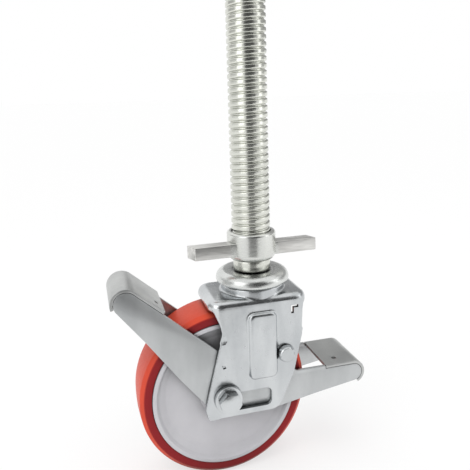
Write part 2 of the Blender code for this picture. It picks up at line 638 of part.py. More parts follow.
def build_rocker(parts, tools):
    slot = ribbon(cam_path(), AXLE_HOLE_RADIUS, round_ends=True)
    hole = circle(PIVOT, PIN_HOLE_RADIUS)
    items = []
    for name, low, high in (("rocker_arm_near", -ARM_OUTER_Y, -ARM_INNER_Y),
                            ("rocker_arm_far", ARM_INNER_Y, ARM_OUTER_Y)):
        items.append(slab(name, [arm_outline(), slot, hole], low, high, parts))
    middle = SEAT_GAP + PEDAL_SHEET / 2.0
    along = Vector((math.cos(BRAKE_ARM_ANGLE), math.sin(BRAKE_ARM_ANGLE)))
    up = Vector((along.y, -along.x))
    start = math.atan2(up.y, up.x)
    radius = BRAKE_END_RADIUS + middle
    curl = arc(BRAKE_END, radius, start, start + BRAKE_CURL, 16)
    path = [BRAKE_END + up * radius - along * BRAKE_PEDAL_LENGTH] + curl
    brake = slab("brake_pedal", [ribbon(path, PEDAL_SHEET / 2.0)], -ARM_OUTER_Y, ARM_OUTER_Y, parts)
    items.append(brake)
    spot = path[0] + along * BRAKE_HOLE_INSET
    pedal_hole("brake_pedal_hole", brake, spot, math.pi - BRAKE_ARM_ANGLE, tools)
    radius = RELEASE_END_RADIUS + middle
    curl = arc(RELEASE_END, radius, math.pi / 2.0, math.pi / 2.0 - RELEASE_CURL, 16)
    path = [Vector((RELEASE_END.x - RELEASE_PEDAL_LENGTH + SEAT_GAP, RELEASE_END.y + radius))] + curl
    release = slab("release_pedal", [ribbon(path, PEDAL_SHEET / 2.0)], -ARM_OUTER_Y, ARM_OUTER_Y, parts)
    items.append(release)
    pedal_hole("release_pedal_hole", release, path[0] + Vector((RELEASE_HOLE_INSET, 0.0)), 0.0, tools)
    for item in items:
        set_origin(item, (PIVOT.x, 0.0, PIVOT.y))
    return items


def pedal_hole(name, pedal, spot, lean, tools):
    """Round hole across the pedal's sheet, which leans by the given angle about Y."""
    reach = 2.0 * PEDAL_SHEET
    profile = [(0.0, reach), (PEDAL_HOLE_RADIUS, reach), (PEDAL_HOLE_RADIUS, -reach), (0.0, -reach)]
    drill = turned(name, profile, tools, 16, (spot.x, PEDAL_HOLE_SIDE, spot.y), closed=False)
    drill.rotation_euler = (0.0, lean, 0.0)
    cut(pedal, drill)


def build_swivel(parts, tools):
    rim = fillet(CAP_RADIUS, CAP_TOP_Z, CAP_TOP_FILLET, 5)
    under = fillet(CAP_RADIUS, CAP_BOTTOM_Z, -CAP_BOTTOM_FILLET, 3)
    bore = KINGPIN_RADIUS + SEAT_GAP
    profile = [(bore, CAP_TOP_Z)] + rim + under + [(CAP_RECESS_RADIUS, CAP_BOTTOM_Z),
                                                   (CAP_RECESS_RADIUS - 1.5 * MM, CAP_RECESS_Z),
                                                   (bore, CAP_RECESS_Z)]
    cap = turned("swivel_cap", profile, parts)
    ball_low = BOSS_TOP_Z + SEAT_GAP
    ball_high = CAP_RECESS_Z - SEAT_GAP
    ball_radius = (ball_high - ball_low) / 2.0
    ball_z = (ball_high + ball_low) / 2.0
    cage_out = BALL_CIRCLE_RADIUS + CAGE_WIDTH / 2.0
    cage_in = BALL_CIRCLE_RADIUS - CAGE_WIDTH / 2.0
    cage_top = ball_z + CAGE_THICKNESS / 2.0
    cage_low = ball_z - CAGE_THICKNESS / 2.0
    cage_profile = [(cage_out, cage_top), (cage_out, cage_low), (cage_in, cage_low), (cage_in, cage_top)]
    cage = turned("upper_ball_ring", cage_profile, parts, BALL_COUNT * 2)
    for k in range(BALL_COUNT):
        angle = 2.0 * math.pi * (k + 0.5) / BALL_COUNT
        mesh = bpy.data.meshes.new("ball")
        body = bmesh.new()
        bmesh.ops.create_uvsphere(body, u_segments=8, v_segments=6, radius=ball_radius)
        body.to_mesh(mesh)
        body.free()
        ball = add_object("ball_%02d" % (k + 1), mesh, tools)
        ball.location = (BALL_CIRCLE_RADIUS * math.cos(angle), BALL_CIRCLE_RADIUS * math.sin(angle), ball_z)
        ball.rotation_euler = (0.0, 0.0, angle)
        join(cage, ball)
    race_top = LOWER_RACE_Z
    race_low = race_top - LOWER_RACE_THICKNESS
    lip_top = race_top + LOWER_LIP_HEIGHT
    lip_in = LOWER_RACE_RADIUS - LOWER_LIP_THICKNESS
    race_profile = [(LOWER_RACE_RADIUS, lip_top), (LOWER_RACE_RADIUS, race_low), (bore, race_low),
                    (bore, race_top), (lip_in, race_top), (lip_in, lip_top)]
    race = turned("lower_race", race_profile, parts)
    ring_low = race_top + SEAT_GAP
    ring_high = BOSS_UNDER_Z - SEAT_GAP
    ring_mid = (ring_low + ring_high) / 2.0
    ring_out = lip_in - SEAT_GAP
    ring_in = KINGPIN_RADIUS + KINGPIN_BORE_CLEARANCE
    centre_r = (ring_in + ring_out) / 2.0
    outer_half = [(centre_r + 1.0 * MM, ring_high), (ring_out, ring_mid + 0.8 * MM),
                  (ring_out, ring_mid - 0.8 * MM), (centre_r + 1.0 * MM, ring_low)]
    inner_half = [(2.0 * centre_r - r, h) for r, h in reversed(outer_half)]
    ring = turned("lower_ball_ring", outer_half + inner_half, parts, 32)
    head_top = race_low - SEAT_GAP
    head_low = head_top - KINGPIN_HEAD_HEIGHT
    kingpin_profile = [(0.0, KINGPIN_TOP_Z), (KINGPIN_RADIUS - 1.0 * MM, KINGPIN_TOP_Z),
                       (KINGPIN_RADIUS, KINGPIN_TOP_Z - 1.0 * MM), (KINGPIN_RADIUS, head_top),
                       (KINGPIN_HEAD_RADIUS, head_top), (KINGPIN_HEAD_RADIUS, head_low + 1.2 * MM),
                       (KINGPIN_HEAD_RADIUS - 2.5 * MM, head_low), (0.0, head_low)]
    kingpin = turned("kingpin", kingpin_profile, parts, 32, closed=False)
    return cap, cage, race, ring, kingpin


def threaded_rod(name, collection):
    """One pitch of the thread wound up the axis, to past both ends of the threaded length."""
    low = THREAD_START_Z - 1.4 * THREAD_PITCH
    turns = math.ceil((SPINDLE_TOP_Z - low) / THREAD_PITCH) + 1
    flank = (THREAD_PITCH - THREAD_CREST) / 2.0
    profile = [(SPINDLE_RADIUS, low + THREAD_PITCH), (SPINDLE_RADIUS, low + THREAD_PITCH - THREAD_CREST),
               (SPINDLE_RADIUS - THREAD_DEPTH, low + flank), (SPINDLE_RADIUS, low)]
    winding = turned(name + "_winding", profile, collection, THREAD_STEPS, closed=False)
    screw = winding.modifiers["Turn"]
    screw.screw_offset = THREAD_PITCH
    screw.iterations = turns
    bpy.context.view_layer.update()
    shape = winding.evaluated_get(bpy.context.evaluated_depsgraph_get())
    mesh = bpy.data.meshes.new_from_object(shape)
    mesh.name = name
    bpy.data.objects.remove(winding)
    body = bmesh.new()
    body.from_mesh(mesh)
    bmesh.ops.remove_doubles(body, verts=body.verts, dist=0.00001)
    ends = bmesh.ops.holes_fill(body, edges=body.edges)["faces"]
    bmesh.ops.poke(body, faces=ends)
    bmesh.ops.triangulate(body, faces=body.faces)
    bmesh.ops.recalc_face_normals(body, faces=body.faces)
    body.to_mesh(mesh)
    body.free()
    return add_object(name, mesh, collection)


def build_spindle(parts, tools):
    spindle = threaded_rod("spindle", parts)
    outer = SPINDLE_RADIUS + 1.0 * MM
    chamfer_z = SPINDLE_TOP_Z - SPINDLE_CHAMFER - 1.0 * MM
    envelope = [(0.0, SPINDLE_TOP_Z), (SPINDLE_RADIUS - SPINDLE_CHAMFER, SPINDLE_TOP_Z), (outer, chamfer_z),
                (outer, THREAD_START_Z), (0.0, THREAD_START_Z)]
    boolean(spindle, turned("thread_length", envelope, tools, closed=False), "INTERSECT")
    socket = KINGPIN_RADIUS + SEAT_GAP
    socket_z = KINGPIN_TOP_Z + SEAT_GAP
    neck_z = THREAD_START_Z + 2.0 * MM
    neck = [(0.0, neck_z), (NECK_RADIUS, neck_z), (NECK_RADIUS, SPINDLE_SEAT_Z), (socket, SPINDLE_SEAT_Z),
            (socket, socket_z), (0.0, socket_z)]
    join(spindle, turned("spindle_neck", neck, tools, closed=False))
    above = SPINDLE_TOP_Z + 5.0 * MM
    bore = [(0.0, above), (SPINDLE_BORE_RADIUS, above), (SPINDLE_BORE_RADIUS, BORE_BOTTOM_Z),
            (0.0, BORE_BOTTOM_Z - SPINDLE_BORE_RADIUS / 2.0)]
    cut(spindle, turned("spindle_bore", bore, tools, 32, closed=False))
    return spindle


def bar(name, sign, side_y, middle_z, collection):
    """Flat bar of the nut. Both bars' ends are cut at the same slant."""
    low_y = side_y - BAR_THICKNESS / 2.0
    high_y = side_y + BAR_THICKNESS / 2.0
    tip = sign * BAR_REACH
    slant = BAR_SLANT / 2.0
    outline = [(0.0, low_y), (tip + slant, low_y), (tip - slant, high_y), (0.0, high_y)]
    half = BAR_HEIGHT / 2.0
    item = slab(name, [outline], middle_z - half, middle_z + half, collection, upright=False)
    bevel(item, 0.8 * MM, 1, 30.0)
    return item


def build_nut(parts, tools):
    top = fillet(NUT_RADIUS, NUT_TOP_Z, NUT_TOP_FILLET, 4)
    low = fillet(NUT_RADIUS, NUT_BOTTOM_Z, -NUT_BOTTOM_FILLET, 4)
    profile = [(0.0, NUT_TOP_Z)] + top + low + [(0.0, NUT_BOTTOM_Z)]
    nut = turned("adjusting_nut", profile, parts, closed=False)
    join(nut, bar("nut_bar_left", -1.0, LEFT_BAR_Y, LEFT_BAR_Z, tools))
    join(nut, bar("nut_bar_right", 1.0, RIGHT_BAR_Y, RIGHT_BAR_Z, tools))
    bore = SPINDLE_RADIUS + SEAT_GAP
    above = NUT_TOP_Z + 5.0 * MM
    below = NUT_BOTTOM_Z - 5.0 * MM
    hole = [(0.0, above), (bore, above), (bore, below), (0.0, below)]
    cut(nut, turned("nut_bore", hole, tools, closed=False))
    return nut


def join_to(parent, *children):
    bpy.context.view_layer.update()
    for child in children:
        child.parent = parent
        child.matrix_parent_inverse = parent.matrix_world.inverted()


def empty(name, place, collection):
    item = bpy.data.objects.new(name, None)
    item.empty_display_size = 0.03
    item.location = place
    collection.objects.link(item)
    return item


def main():
    for item in list(bpy.data.objects):
        bpy.data.objects.remove(item)
    parts = make_collection("scaffold_castor")
    tools = make_collection("cutters")

    bright = (0.66, 0.67, 0.66)
    dull = (0.40, 0.42, 0.44)
    spindle = build_spindle(parts, tools)
    nut = build_nut(parts, tools)
    cap, balls, race, ring, kingpin = build_swivel(parts, tools)
    fork = build_fork(parts, tools)
    pin_near, pin_far = build_pins(parts)
    rocker = build_rocker(parts, tools)
    sleeve, collar_near, collar_far, bolt, locknut = build_axle(parts, tools)
    hub, tyre, bearing = build_wheel(parts, tools)

    finishes = {
        spindle: (bright, 0.35, 1.0), nut: (bright, 0.30, 1.0), cap: (bright, 0.25, 1.0),
        kingpin: (dull, 0.45, 1.0), race: (dull, 0.45, 1.0), ring: (dull, 0.40, 1.0),
        balls: (bright, 0.15, 1.0), fork: (bright, 0.28, 1.0), pin_near: (bright, 0.30, 1.0),
        pin_far: (bright, 0.30, 1.0), sleeve: (dull, 0.40, 1.0), collar_near: (bright, 0.30, 1.0),
        collar_far: (bright, 0.30, 1.0), bolt: (bright, 0.30, 1.0), locknut: (bright, 0.30, 1.0),
        bearing: (dull, 0.40, 1.0), hub: ((0.62, 0.63, 0.66), 0.40, 0.0),
        tyre: ((0.62, 0.09, 0.05), 0.45, 0.0),
    }
    for item in rocker:
        finishes[item] = (dull, 0.45, 1.0)
    for item, (colour, roughness, metallic) in finishes.items():
        item.data.materials.append(make_material(item.name, colour, roughness, metallic))
        if not item.modifiers or item.modifiers[0].type != "SCREW":
            shade(item)

    swivel_axis = empty("swivel_axis", (0.0, 0.0, FORK_TOP_Z), parts)
    rocker_axis = empty("rocker_axis", (PIVOT.x, 0.0, PIVOT.y), parts)
    axle_axis = empty("axle_axis", (AXLE_REST.x, 0.0, AXLE_REST.y), parts)
    join_to(spindle, nut, cap, race, ring, kingpin, swivel_axis)
    join_to(swivel_axis, fork, balls, pin_near, pin_far, rocker_axis, axle_axis)
    join_to(rocker_axis, *rocker)
    join_to(axle_axis, sleeve, collar_near, collar_far, bolt, locknut, hub, tyre, bearing)


main()
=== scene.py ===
"""Scaffold castor in bright zinc with a red tyre, dressed for the studio."""
import math

import bmesh
import bpy
from mathutils import Matrix, Vector


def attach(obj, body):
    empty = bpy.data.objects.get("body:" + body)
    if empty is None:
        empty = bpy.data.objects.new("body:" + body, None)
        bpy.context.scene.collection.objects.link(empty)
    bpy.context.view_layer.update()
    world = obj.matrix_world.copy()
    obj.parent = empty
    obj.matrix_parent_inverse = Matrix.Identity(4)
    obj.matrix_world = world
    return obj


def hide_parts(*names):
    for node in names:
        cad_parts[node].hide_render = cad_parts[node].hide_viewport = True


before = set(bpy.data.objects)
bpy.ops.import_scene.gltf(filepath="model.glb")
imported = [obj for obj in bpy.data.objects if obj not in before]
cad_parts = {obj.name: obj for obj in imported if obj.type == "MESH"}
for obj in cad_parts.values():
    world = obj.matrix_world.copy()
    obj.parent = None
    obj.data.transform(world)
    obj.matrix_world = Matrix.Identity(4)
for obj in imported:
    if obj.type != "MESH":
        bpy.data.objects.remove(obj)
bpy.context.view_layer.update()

MM = 0.001
FLIP = {"near": 1.0, "far": -1.0}

# Sizes in millimetres, as in the frame. Points are (x, z), and IN and OUT are distances from the middle plane.
SEAT = 0.3
AXLE = (-33.4, 75.0)
AXLE_CENTRED = (0.0, 69.6)
AXLE_RADIUS = 5.0
AXLE_ROOM = 5.4
PIVOT = (20.0, 108.0)
HOLE_RADIUS = 5.3

THREAD_LOW = 193.0
THREAD_HIGH = 480.0
PITCH = 6.0
CREST = 17.2
DEPTH = 1.55
CREST_SHARE = 0.52
ROOT_SHARE = 0.90
CROWN = 0.05
THREAD_END_RADIUS = 15.0
BORE_RADIUS = 12.0
NECK_RADIUS = 16.6
KINGPIN_SOCKET = 8.3

# NUT_FOOT is the width and height of the foot's rounding, BARS the side and middle (y, z) of each bar
NUT_RADIUS = 21.8
NUT_LOW = 188.6
NUT_HIGH = 213.4
NUT_RIM = 2.6
NUT_FOOT = (4.1, 6.4)
NUT_BORE = 17.55
BAR_REACH = 56.5
BAR_HALF_DEPTH = 6.15
BAR_HALF_HEIGHT = 5.7
BAR_SKEW = 2.3
BARS = ((-1.0, -7.2, 199.4), (1.0, -2.8, 196.9))

CAP_RADIUS = 32.8
CAP_TOP = 178.2
CAP_LOW = 168.0
CAP_RIM = 7.2
CAP_UNDER = 2.9

LEG_IN = 26.1
LEG_OUT = 29.6
SHEET = 3.5
TOP = 160.5
HOOD_FILLET = 6.3
RIB_RISE = 3.3
RIB_FILLET = 3.0
BOSS_RADIUS = 28.3
BOSS_TOP = 166.9
VOXEL = 0.7

ARM_IN = 22.9
ARM_OUT = 25.7
BRAKE_ANGLE = math.radians(139.4)
BRAKE_END = Vector((-115.0, 168.0))
BRAKE_END_RADIUS = 10.0
BRAKE_TREAD = 31.0
RELEASE_END = Vector((88.0, 75.9))
RELEASE_END_RADIUS = 8.0
ARM_NECK = 101.0
TILT = math.radians(31.0)
TREAD_HALF_SHEET = 1.3
TREAD_STEP = 2.9
RELEASE_TREAD_START = 60.3
TREAD_HOLE_RADIUS = 2.1
TREAD_HOLE_SIDE = -14.0
BRAKE_HOLE_INSET = 7.8
RELEASE_HOLE_INSET = 13.0

HEX_ACROSS = 17.0
COLLAR_THICKNESS = 4.5
COLLAR_RADIUS = 12.0
HEAD_SEAT = LEG_OUT + SEAT + COLLAR_THICKNESS + SEAT
WHEEL_RADIUS = 75.0
TYRE_HALF = 21.0
TYRE_INNER = 64.0
HUB_RADIUS = 63.7
HUB_HALF = 22.3


# Shape helpers, all in millimetres

def finish(name, mesh, body, nodes, smooth=32.0):
    """Turn a mesh in millimetres into a piece that rides on a body and hides the CAD nodes that it stands for."""
    mesh.name = name
    mesh.transform(Matrix.Scale(MM, 4))
    mesh.shade_smooth()
    mesh.set_sharp_from_angle(angle=math.radians(smooth))
    item = bpy.data.objects.new(name, mesh)
    bpy.context.scene.collection.objects.link(item)
    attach(item, body)
    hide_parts(*nodes)
    return item


def mesh_of(body):
    bmesh.ops.recalc_face_normals(body, faces=body.faces)
    mesh = bpy.data.meshes.new("shape")
    body.to_mesh(mesh)
    body.free()
    return mesh


def lathe(profile, steps, closed=False, centre=None, flip=1.0):
    """Profile of (radius, height) points turned about Z, or about Y through centre (x, z) when that is given."""
    body = bmesh.new()
    rings = []
    for radius, height in profile:
        if radius < 1e-6:
            rings.append([body.verts.new((0.0, 0.0, height))])
            continue
        rings.append([body.verts.new((radius * math.cos(2.0 * math.pi * k / steps),
                                      radius * math.sin(2.0 * math.pi * k / steps), height)) for k in range(steps)])
    pairs = list(zip(rings, rings[1:]))
    if closed:
        pairs.append((rings[-1], rings[0]))
    for low, high in pairs:
        for k in range(steps):
            n = (k + 1) % steps
            corners = [low[k % len(low)], low[n % len(low)], high[n % len(high)], high[k % len(high)]]
            unique = list(dict.fromkeys(corners))
            if len(unique) > 2:
                body.faces.new(unique)
    if centre is not None:
        turn = Matrix.Rotation(math.radians(90.0) * flip, 4, "X")
        body.transform(Matrix.Translation((centre[0], 0.0, centre[1])) @ turn)
    return mesh_of(body)


def soften(points, steps=4):
    """Profile whose inner points become arcs where they carry a radius as a third value."""
    result = [Vector(points[0][:2])]
    for i in range(1, len(points) - 1):
        here = Vector(points[i][:2])
        size = points[i][2] if len(points[i]) > 2 else 0.0
        before = Vector(points[i - 1][:2]) - here
        after = Vector(points[i + 1][:2]) - here
        result += corner_arc(here, before, after, size, steps)
    result.append(Vector(points[-1][:2]))
    return [tuple(p) for p in result]


def corner_arc(here, before, after, radius, steps):
    """Arc that replaces a corner, shortened where its legs are too short for the radius."""
    angle = before.angle(after)
    if radius <= 0.0 or angle > math.radians(179.0):
        return [here]
    reach = min(radius / math.tan(angle / 2.0), 0.49 * before.length, 0.49 * after.length)
    radius = reach * math.tan(angle / 2.0)
    centre = here + (before.normalized() + after.normalized()).normalized() * (radius / math.sin(angle / 2.0))
    start = here + before.normalized() * reach - centre
    end = here + after.normalized() * reach - centre
    sweep = math.atan2(start.x * end.y - start.y * end.x, start.dot(end))
    return [centre + Matrix.Rotation(sweep * k / steps, 2) @ start for k in range(steps + 1)]


def rounded(corners, steps=8):
    """Closed outline through (x, z, radius) corners."""
    points = []
    count = len(corners)
    for i, (x, z, radius) in enumerate(corners):
        here = Vector((x, z))
        points += corner_arc(here, Vector(corners[i - 1][:2]) - here, Vector(corners[(i + 1) % count][:2]) - here,
                             radius, steps)
    return points


def circle(centre, radius, steps=48):
    return [Vector(centre) + Vector((math.cos(a), math.sin(a))) * radius
            for a in (2.0 * math.pi * k / steps for k in range(steps))]


def arc(centre, radius, start, end, steps):
    return [Vector(centre) + Vector((math.cos(a), math.sin(a))) * radius
            for a in (start + (end - start) * k / steps for k in range(steps + 1))]


def ribbon(path, half_width, round_ends=False, steps=12):
    """Closed outline of a strip along a path."""
    left = []
    right = []
    last = len(path) - 1
    for i, point in enumerate(path):
        along = (path[min(i + 1, last)] - path[max(i - 1, 0)]).normalized()
        side = Vector((-along.y, along.x)) * half_width
        left.append(point + side)
        right.append(point - side)
    if not round_ends:
        return left + right[::-1]
    tail = [path[-1] + Matrix.Rotation(-math.pi * k / steps, 2) @ (left[-1] - path[-1]) for k in range(1, steps)]
    head = [path[0] + Matrix.Rotation(-math.pi * k / steps, 2) @ (right[0] - path[0]) for k in range(1, steps)]
    return left + tail + right[::-1] + head


def plate(outlines, low, high, edge=0.0, upright=True, edge_steps=2):
    """Flat outline with holes and thickness, its rims rounded by edge. Upright plates lie in XZ, others in XY."""
    curve = bpy.data.curves.new("plate", "CURVE")
    curve.dimensions = "2D"
    curve.fill_mode = "BOTH"
    curve.extrude = (high - low) / 2.0 - edge
    curve.bevel_depth = edge
    curve.bevel_resolution = edge_steps
    curve.offset = -edge
    for outline in outlines:
        spline = curve.splines.new("POLY")
        spline.points.add(len(outline) - 1)
        spline.use_cyclic_u = True
        for point, place in zip(spline.points, outline):
            point.co = (place[0], place[1], 0.0, 1.0)
    guide = bpy.data.objects.new("plate", curve)
    bpy.context.scene.collection.objects.link(guide)
    bpy.context.view_layer.update()
    mesh = bpy.data.meshes.new_from_object(guide.evaluated_get(bpy.context.evaluated_depsgraph_get()))
    bpy.data.objects.remove(guide)
    body = bmesh.new()
    body.from_mesh(mesh)
    bmesh.ops.remove_doubles(body, verts=body.verts, dist=0.001)
    if not edge:
        bmesh.ops.dissolve_limit(body, angle_limit=math.radians(0.5), verts=body.verts, edges=body.edges)
    place = Matrix.Translation((0.0, 0.0, (low + high) / 2.0))
    if upright:
        place = Matrix.Translation((0.0, (low + high) / 2.0, 0.0)) @ Matrix.Rotation(math.pi / 2.0, 4, "X")
    body.transform(place)
    return mesh_of(body)


def block(low, high):
    body = bmesh.new()
    bmesh.ops.create_cube(body, size=1.0)
    size = Vector(high) - Vector(low)
    middle = (Vector(high) + Vector(low)) / 2.0
    body.transform(Matrix.Translation(middle) @ Matrix.Diagonal((*size, 1.0)))
    return mesh_of(body)


def carve(mesh, steps):
    """Apply steps to a mesh: (operation, mesh) for a boolean, (type, settings) for another modifier."""
    item = bpy.data.objects.new("work", mesh)
    bpy.context.scene.collection.objects.link(item)
    tools = []
    for kind, value in steps:
        if kind in ("UNION", "DIFFERENCE", "INTERSECT"):
            tool = bpy.data.objects.new("tool", value)
            bpy.context.scene.collection.objects.link(tool)
            tools.append(tool)
            modifier = item.modifiers.new(kind, "BOOLEAN")
            modifier.operation = kind
            modifier.solver = "EXACT"
            modifier.object = tool
        else:
            modifier = item.modifiers.new(kind, kind)
            for key, setting in value.items():
                setattr(modifier, key, setting)
    bpy.context.view_layer.update()
    result = bpy.data.meshes.new_from_object(item.evaluated_get(bpy.context.evaluated_depsgraph_get()))
    for thing in [item] + tools:
        bpy.data.objects.remove(thing)
    return result


def bevelled(mesh, width, segments, angle=35.0):
    return carve(mesh, [("BEVEL", {"width": width, "segments": segments, "limit_method": "ANGLE",
                                   "angle_limit": math.radians(angle), "use_clamp_overlap": True})])


def rectangle(low_x, high_x, low, high, radius, steps=8):
    corners = [(low_x, low, radius), (high_x, low, radius), (high_x, high, radius), (low_x, high, radius)]
    return rounded(corners, steps)


def mirrored(side):
    """Full wheel profile from the half beyond the middle plane."""
    return side + [(r, -h) for r, h in reversed(side)]


# Spindle and nut

def thread_radius(share):
    """Shallow rolled thread: a broad crest at the middle of the turn and a narrow round root at its ends."""
    offset = abs(share - 0.5) * 2.0
    if offset < CREST_SHARE:
        return CREST - CROWN * (offset / CREST_SHARE) ** 4
    if offset > ROOT_SHARE:
        return CREST - DEPTH
    t = (offset - CREST_SHARE) / (ROOT_SHARE - CREST_SHARE)
    return CREST - CROWN - (DEPTH - CROWN) * (t * t * (3.0 - 2.0 * t) * 0.7 + t * 0.3)


def spindle_mesh():
    """Helical thread wound as one sheet, with the bore above it and the plain neck below."""
    steps = 64
    profile = 14
    turns = int((THREAD_HIGH - THREAD_LOW) / PITCH) + 3
    body = bmesh.new()
    columns = []
    for k in range(turns * steps + 1):
        angle = 2.0 * math.pi * k / steps
        base = THREAD_LOW - PITCH + PITCH * k / steps
        column = []
        for j in range(profile + 1):
            share = j / profile
            height = base + share * PITCH
            radius = min(thread_radius(share), THREAD_END_RADIUS + max(0.0, THREAD_HIGH - height),
                         THREAD_END_RADIUS + max(0.0, height - THREAD_LOW))
            if height <= THREAD_LOW:
                height, radius = THREAD_LOW, THREAD_END_RADIUS
            if height >= THREAD_HIGH:
                height, radius = THREAD_HIGH, THREAD_END_RADIUS
            column.append(body.verts.new((radius * math.cos(angle), radius * math.sin(angle), height)))
        columns.append(column)
    for left, right in zip(columns, columns[1:]):
        for j in range(profile):
            corners = [left[j], right[j], right[j + 1], left[j + 1]]
            heights = {round(v.co.z, 4) for v in corners}
            if len(heights) > 1:
                body.faces.new(corners)
    bmesh.ops.remove_doubles(body, verts=body.verts, dist=0.004)
    loose = [v for v in body.verts if not v.link_faces]
    bmesh.ops.delete(body, geom=loose, context="VERTS")

    def rings(points, low):
        ring = [v for v in body.verts
                if abs(v.co.z - low) < 1e-3 and abs(v.co.xy.length - THREAD_END_RADIUS) < 1e-2]
        ring.sort(key=lambda v: math.atan2(v.co.y, v.co.x) % (2.0 * math.pi - 1e-4))
        for radius, height in points:
            if radius < 1e-6:
                tip = body.verts.new((0.0, 0.0, height))
                for a, b in zip(ring, ring[1:] + ring[:1]):
                    body.faces.new((a, b, tip))
                return
            following = [body.verts.new((v.co.x / v.co.xy.length * radius, v.co.y / v.co.xy.length * radius, height))
                         for v in ring]
            for i in range(len(ring)):
                n = (i + 1) % len(ring)
                body.faces.new((ring[i], ring[n], following[n], following[i]))
            ring = following

    rings([(12.7, THREAD_HIGH), (12.3, THREAD_HIGH - 0.15), (BORE_RADIUS, THREAD_HIGH - 0.6),
           (BORE_RADIUS, 205.0), (0.0, 199.0)], THREAD_HIGH)
    rings([(THREAD_END_RADIUS, 191.8), (15.6, 191.2), (16.2, 190.9), (NECK_RADIUS, 190.4), (NECK_RADIUS, 179.1),
           (16.4, 178.7), (16.0, 178.5), (KINGPIN_SOCKET, 178.5), (KINGPIN_SOCKET, 190.3), (0.0, 190.3)],
          THREAD_LOW)
    return mesh_of(body)


def nut_mesh():
    """Barrel with a rounded top and an elliptic foot, two bars with skewed ends and a plain bore."""
    deep, tall = NUT_FOOT
    top = arc((NUT_RADIUS - NUT_RIM, NUT_HIGH - NUT_RIM), NUT_RIM, math.pi / 2.0, 0.0, 8)
    foot = [(NUT_RADIUS - deep + deep * math.cos(a), NUT_LOW + tall - tall * math.sin(a))
            for a in (math.pi / 2.0 * k / 10 for k in range(11))]
    barrel = lathe([(0.0, NUT_HIGH)] + [tuple(p) for p in top] + foot + [(0.0, NUT_LOW)], 128)
    steps = []
    for sign, side_y, middle_z in BARS:
        low_y = side_y - BAR_HALF_DEPTH
        high_y = side_y + BAR_HALF_DEPTH
        end = sign * BAR_REACH
        outline = [(0.0, low_y), (end + BAR_SKEW, low_y), (end - BAR_SKEW, high_y), (0.0, high_y)]
        bar = plate([outline], middle_z - BAR_HALF_HEIGHT, middle_z + BAR_HALF_HEIGHT, upright=False)
        steps.append(("UNION", bevelled(bar, 0.8, 3)))
    bore = lathe([(0.0, NUT_HIGH + 5.0), (19.0, NUT_HIGH + 1.0), (NUT_BORE, NUT_HIGH - 0.6),
                  (NUT_BORE, NUT_LOW + 0.4), (18.5, NUT_LOW - 1.0), (0.0, NUT_LOW - 5.0)], 96)
    steps.append(("DIFFERENCE", bore))
    return carve(barrel, steps)


def cap_mesh():
    rim = arc((CAP_RADIUS - CAP_RIM, CAP_TOP - CAP_RIM), CAP_RIM, math.pi / 2.0, 0.0, 16)
    under = arc((CAP_RADIUS - CAP_UNDER, CAP_LOW + CAP_UNDER), CAP_UNDER, 0.0, -math.pi / 2.0, 8)
    inner = soften([(26.9, CAP_LOW), (25.2, 171.5, 0.5), (KINGPIN_SOCKET, 171.5), (KINGPIN_SOCKET, 177.2),
                    (17.3, 177.2, 0.4), (18.5, 177.9, 0.8), (21.0, 178.1, 3.0), (24.5, CAP_TOP)])
    return lathe([tuple(p) for p in rim + under] + inner, 160, closed=True)


# Fork

def leg_outline():
    return rounded([
        (-33.0, 141.0, 0.0), (-33.0, 128.0, 3.0), (-38.6, 123.5, 3.0), (-53.2, 66.8, 6.0), (-50.6, 55.6, 5.0),
        (-40.0, 56.8, 8.0), (13.0, 56.8, 12.0), (27.8, 88.2, 30.0), (36.0, 123.0, 0.0), (36.6, 128.0, 0.0),
        (29.5, 141.0, 0.0)], 10)


def hood_outline():
    return rounded([
        (-56.5, 170.5, 0.0), (-56.5, 152.1, 0.0), (-43.0, 151.6, 2.0), (-38.4, 141.0, 12.0), (-36.6, 132.5, 8.0),
        (-39.2, 124.0, 0.0), (36.2, 124.0, 0.0), (37.6, 144.6, 6.0), (39.0, 150.6, 2.0), (52.5, 150.6, 0.0),
        (52.5, 170.5, 0.0)], 10)


def window_outline():
    top = AXLE[1] + AXLE_ROOM
    low = AXLE_CENTRED[1] - 7.4
    window_top = AXLE_CENTRED[1] + 8.8
    left = AXLE[0] - AXLE_ROOM
    right = AXLE_CENTRED[0] + 6.5
    return rounded([(left, AXLE[1] - 4.0, 4.0), (left + 9.0, low + 4.0, 3.0), (left + 15.0, low, 3.0),
                    (right, low, 5.0), (right, window_top, 5.0), (left + 18.0, window_top, 3.0),
                    (left + 13.0, top, 3.0), (left, top, 5.2)])


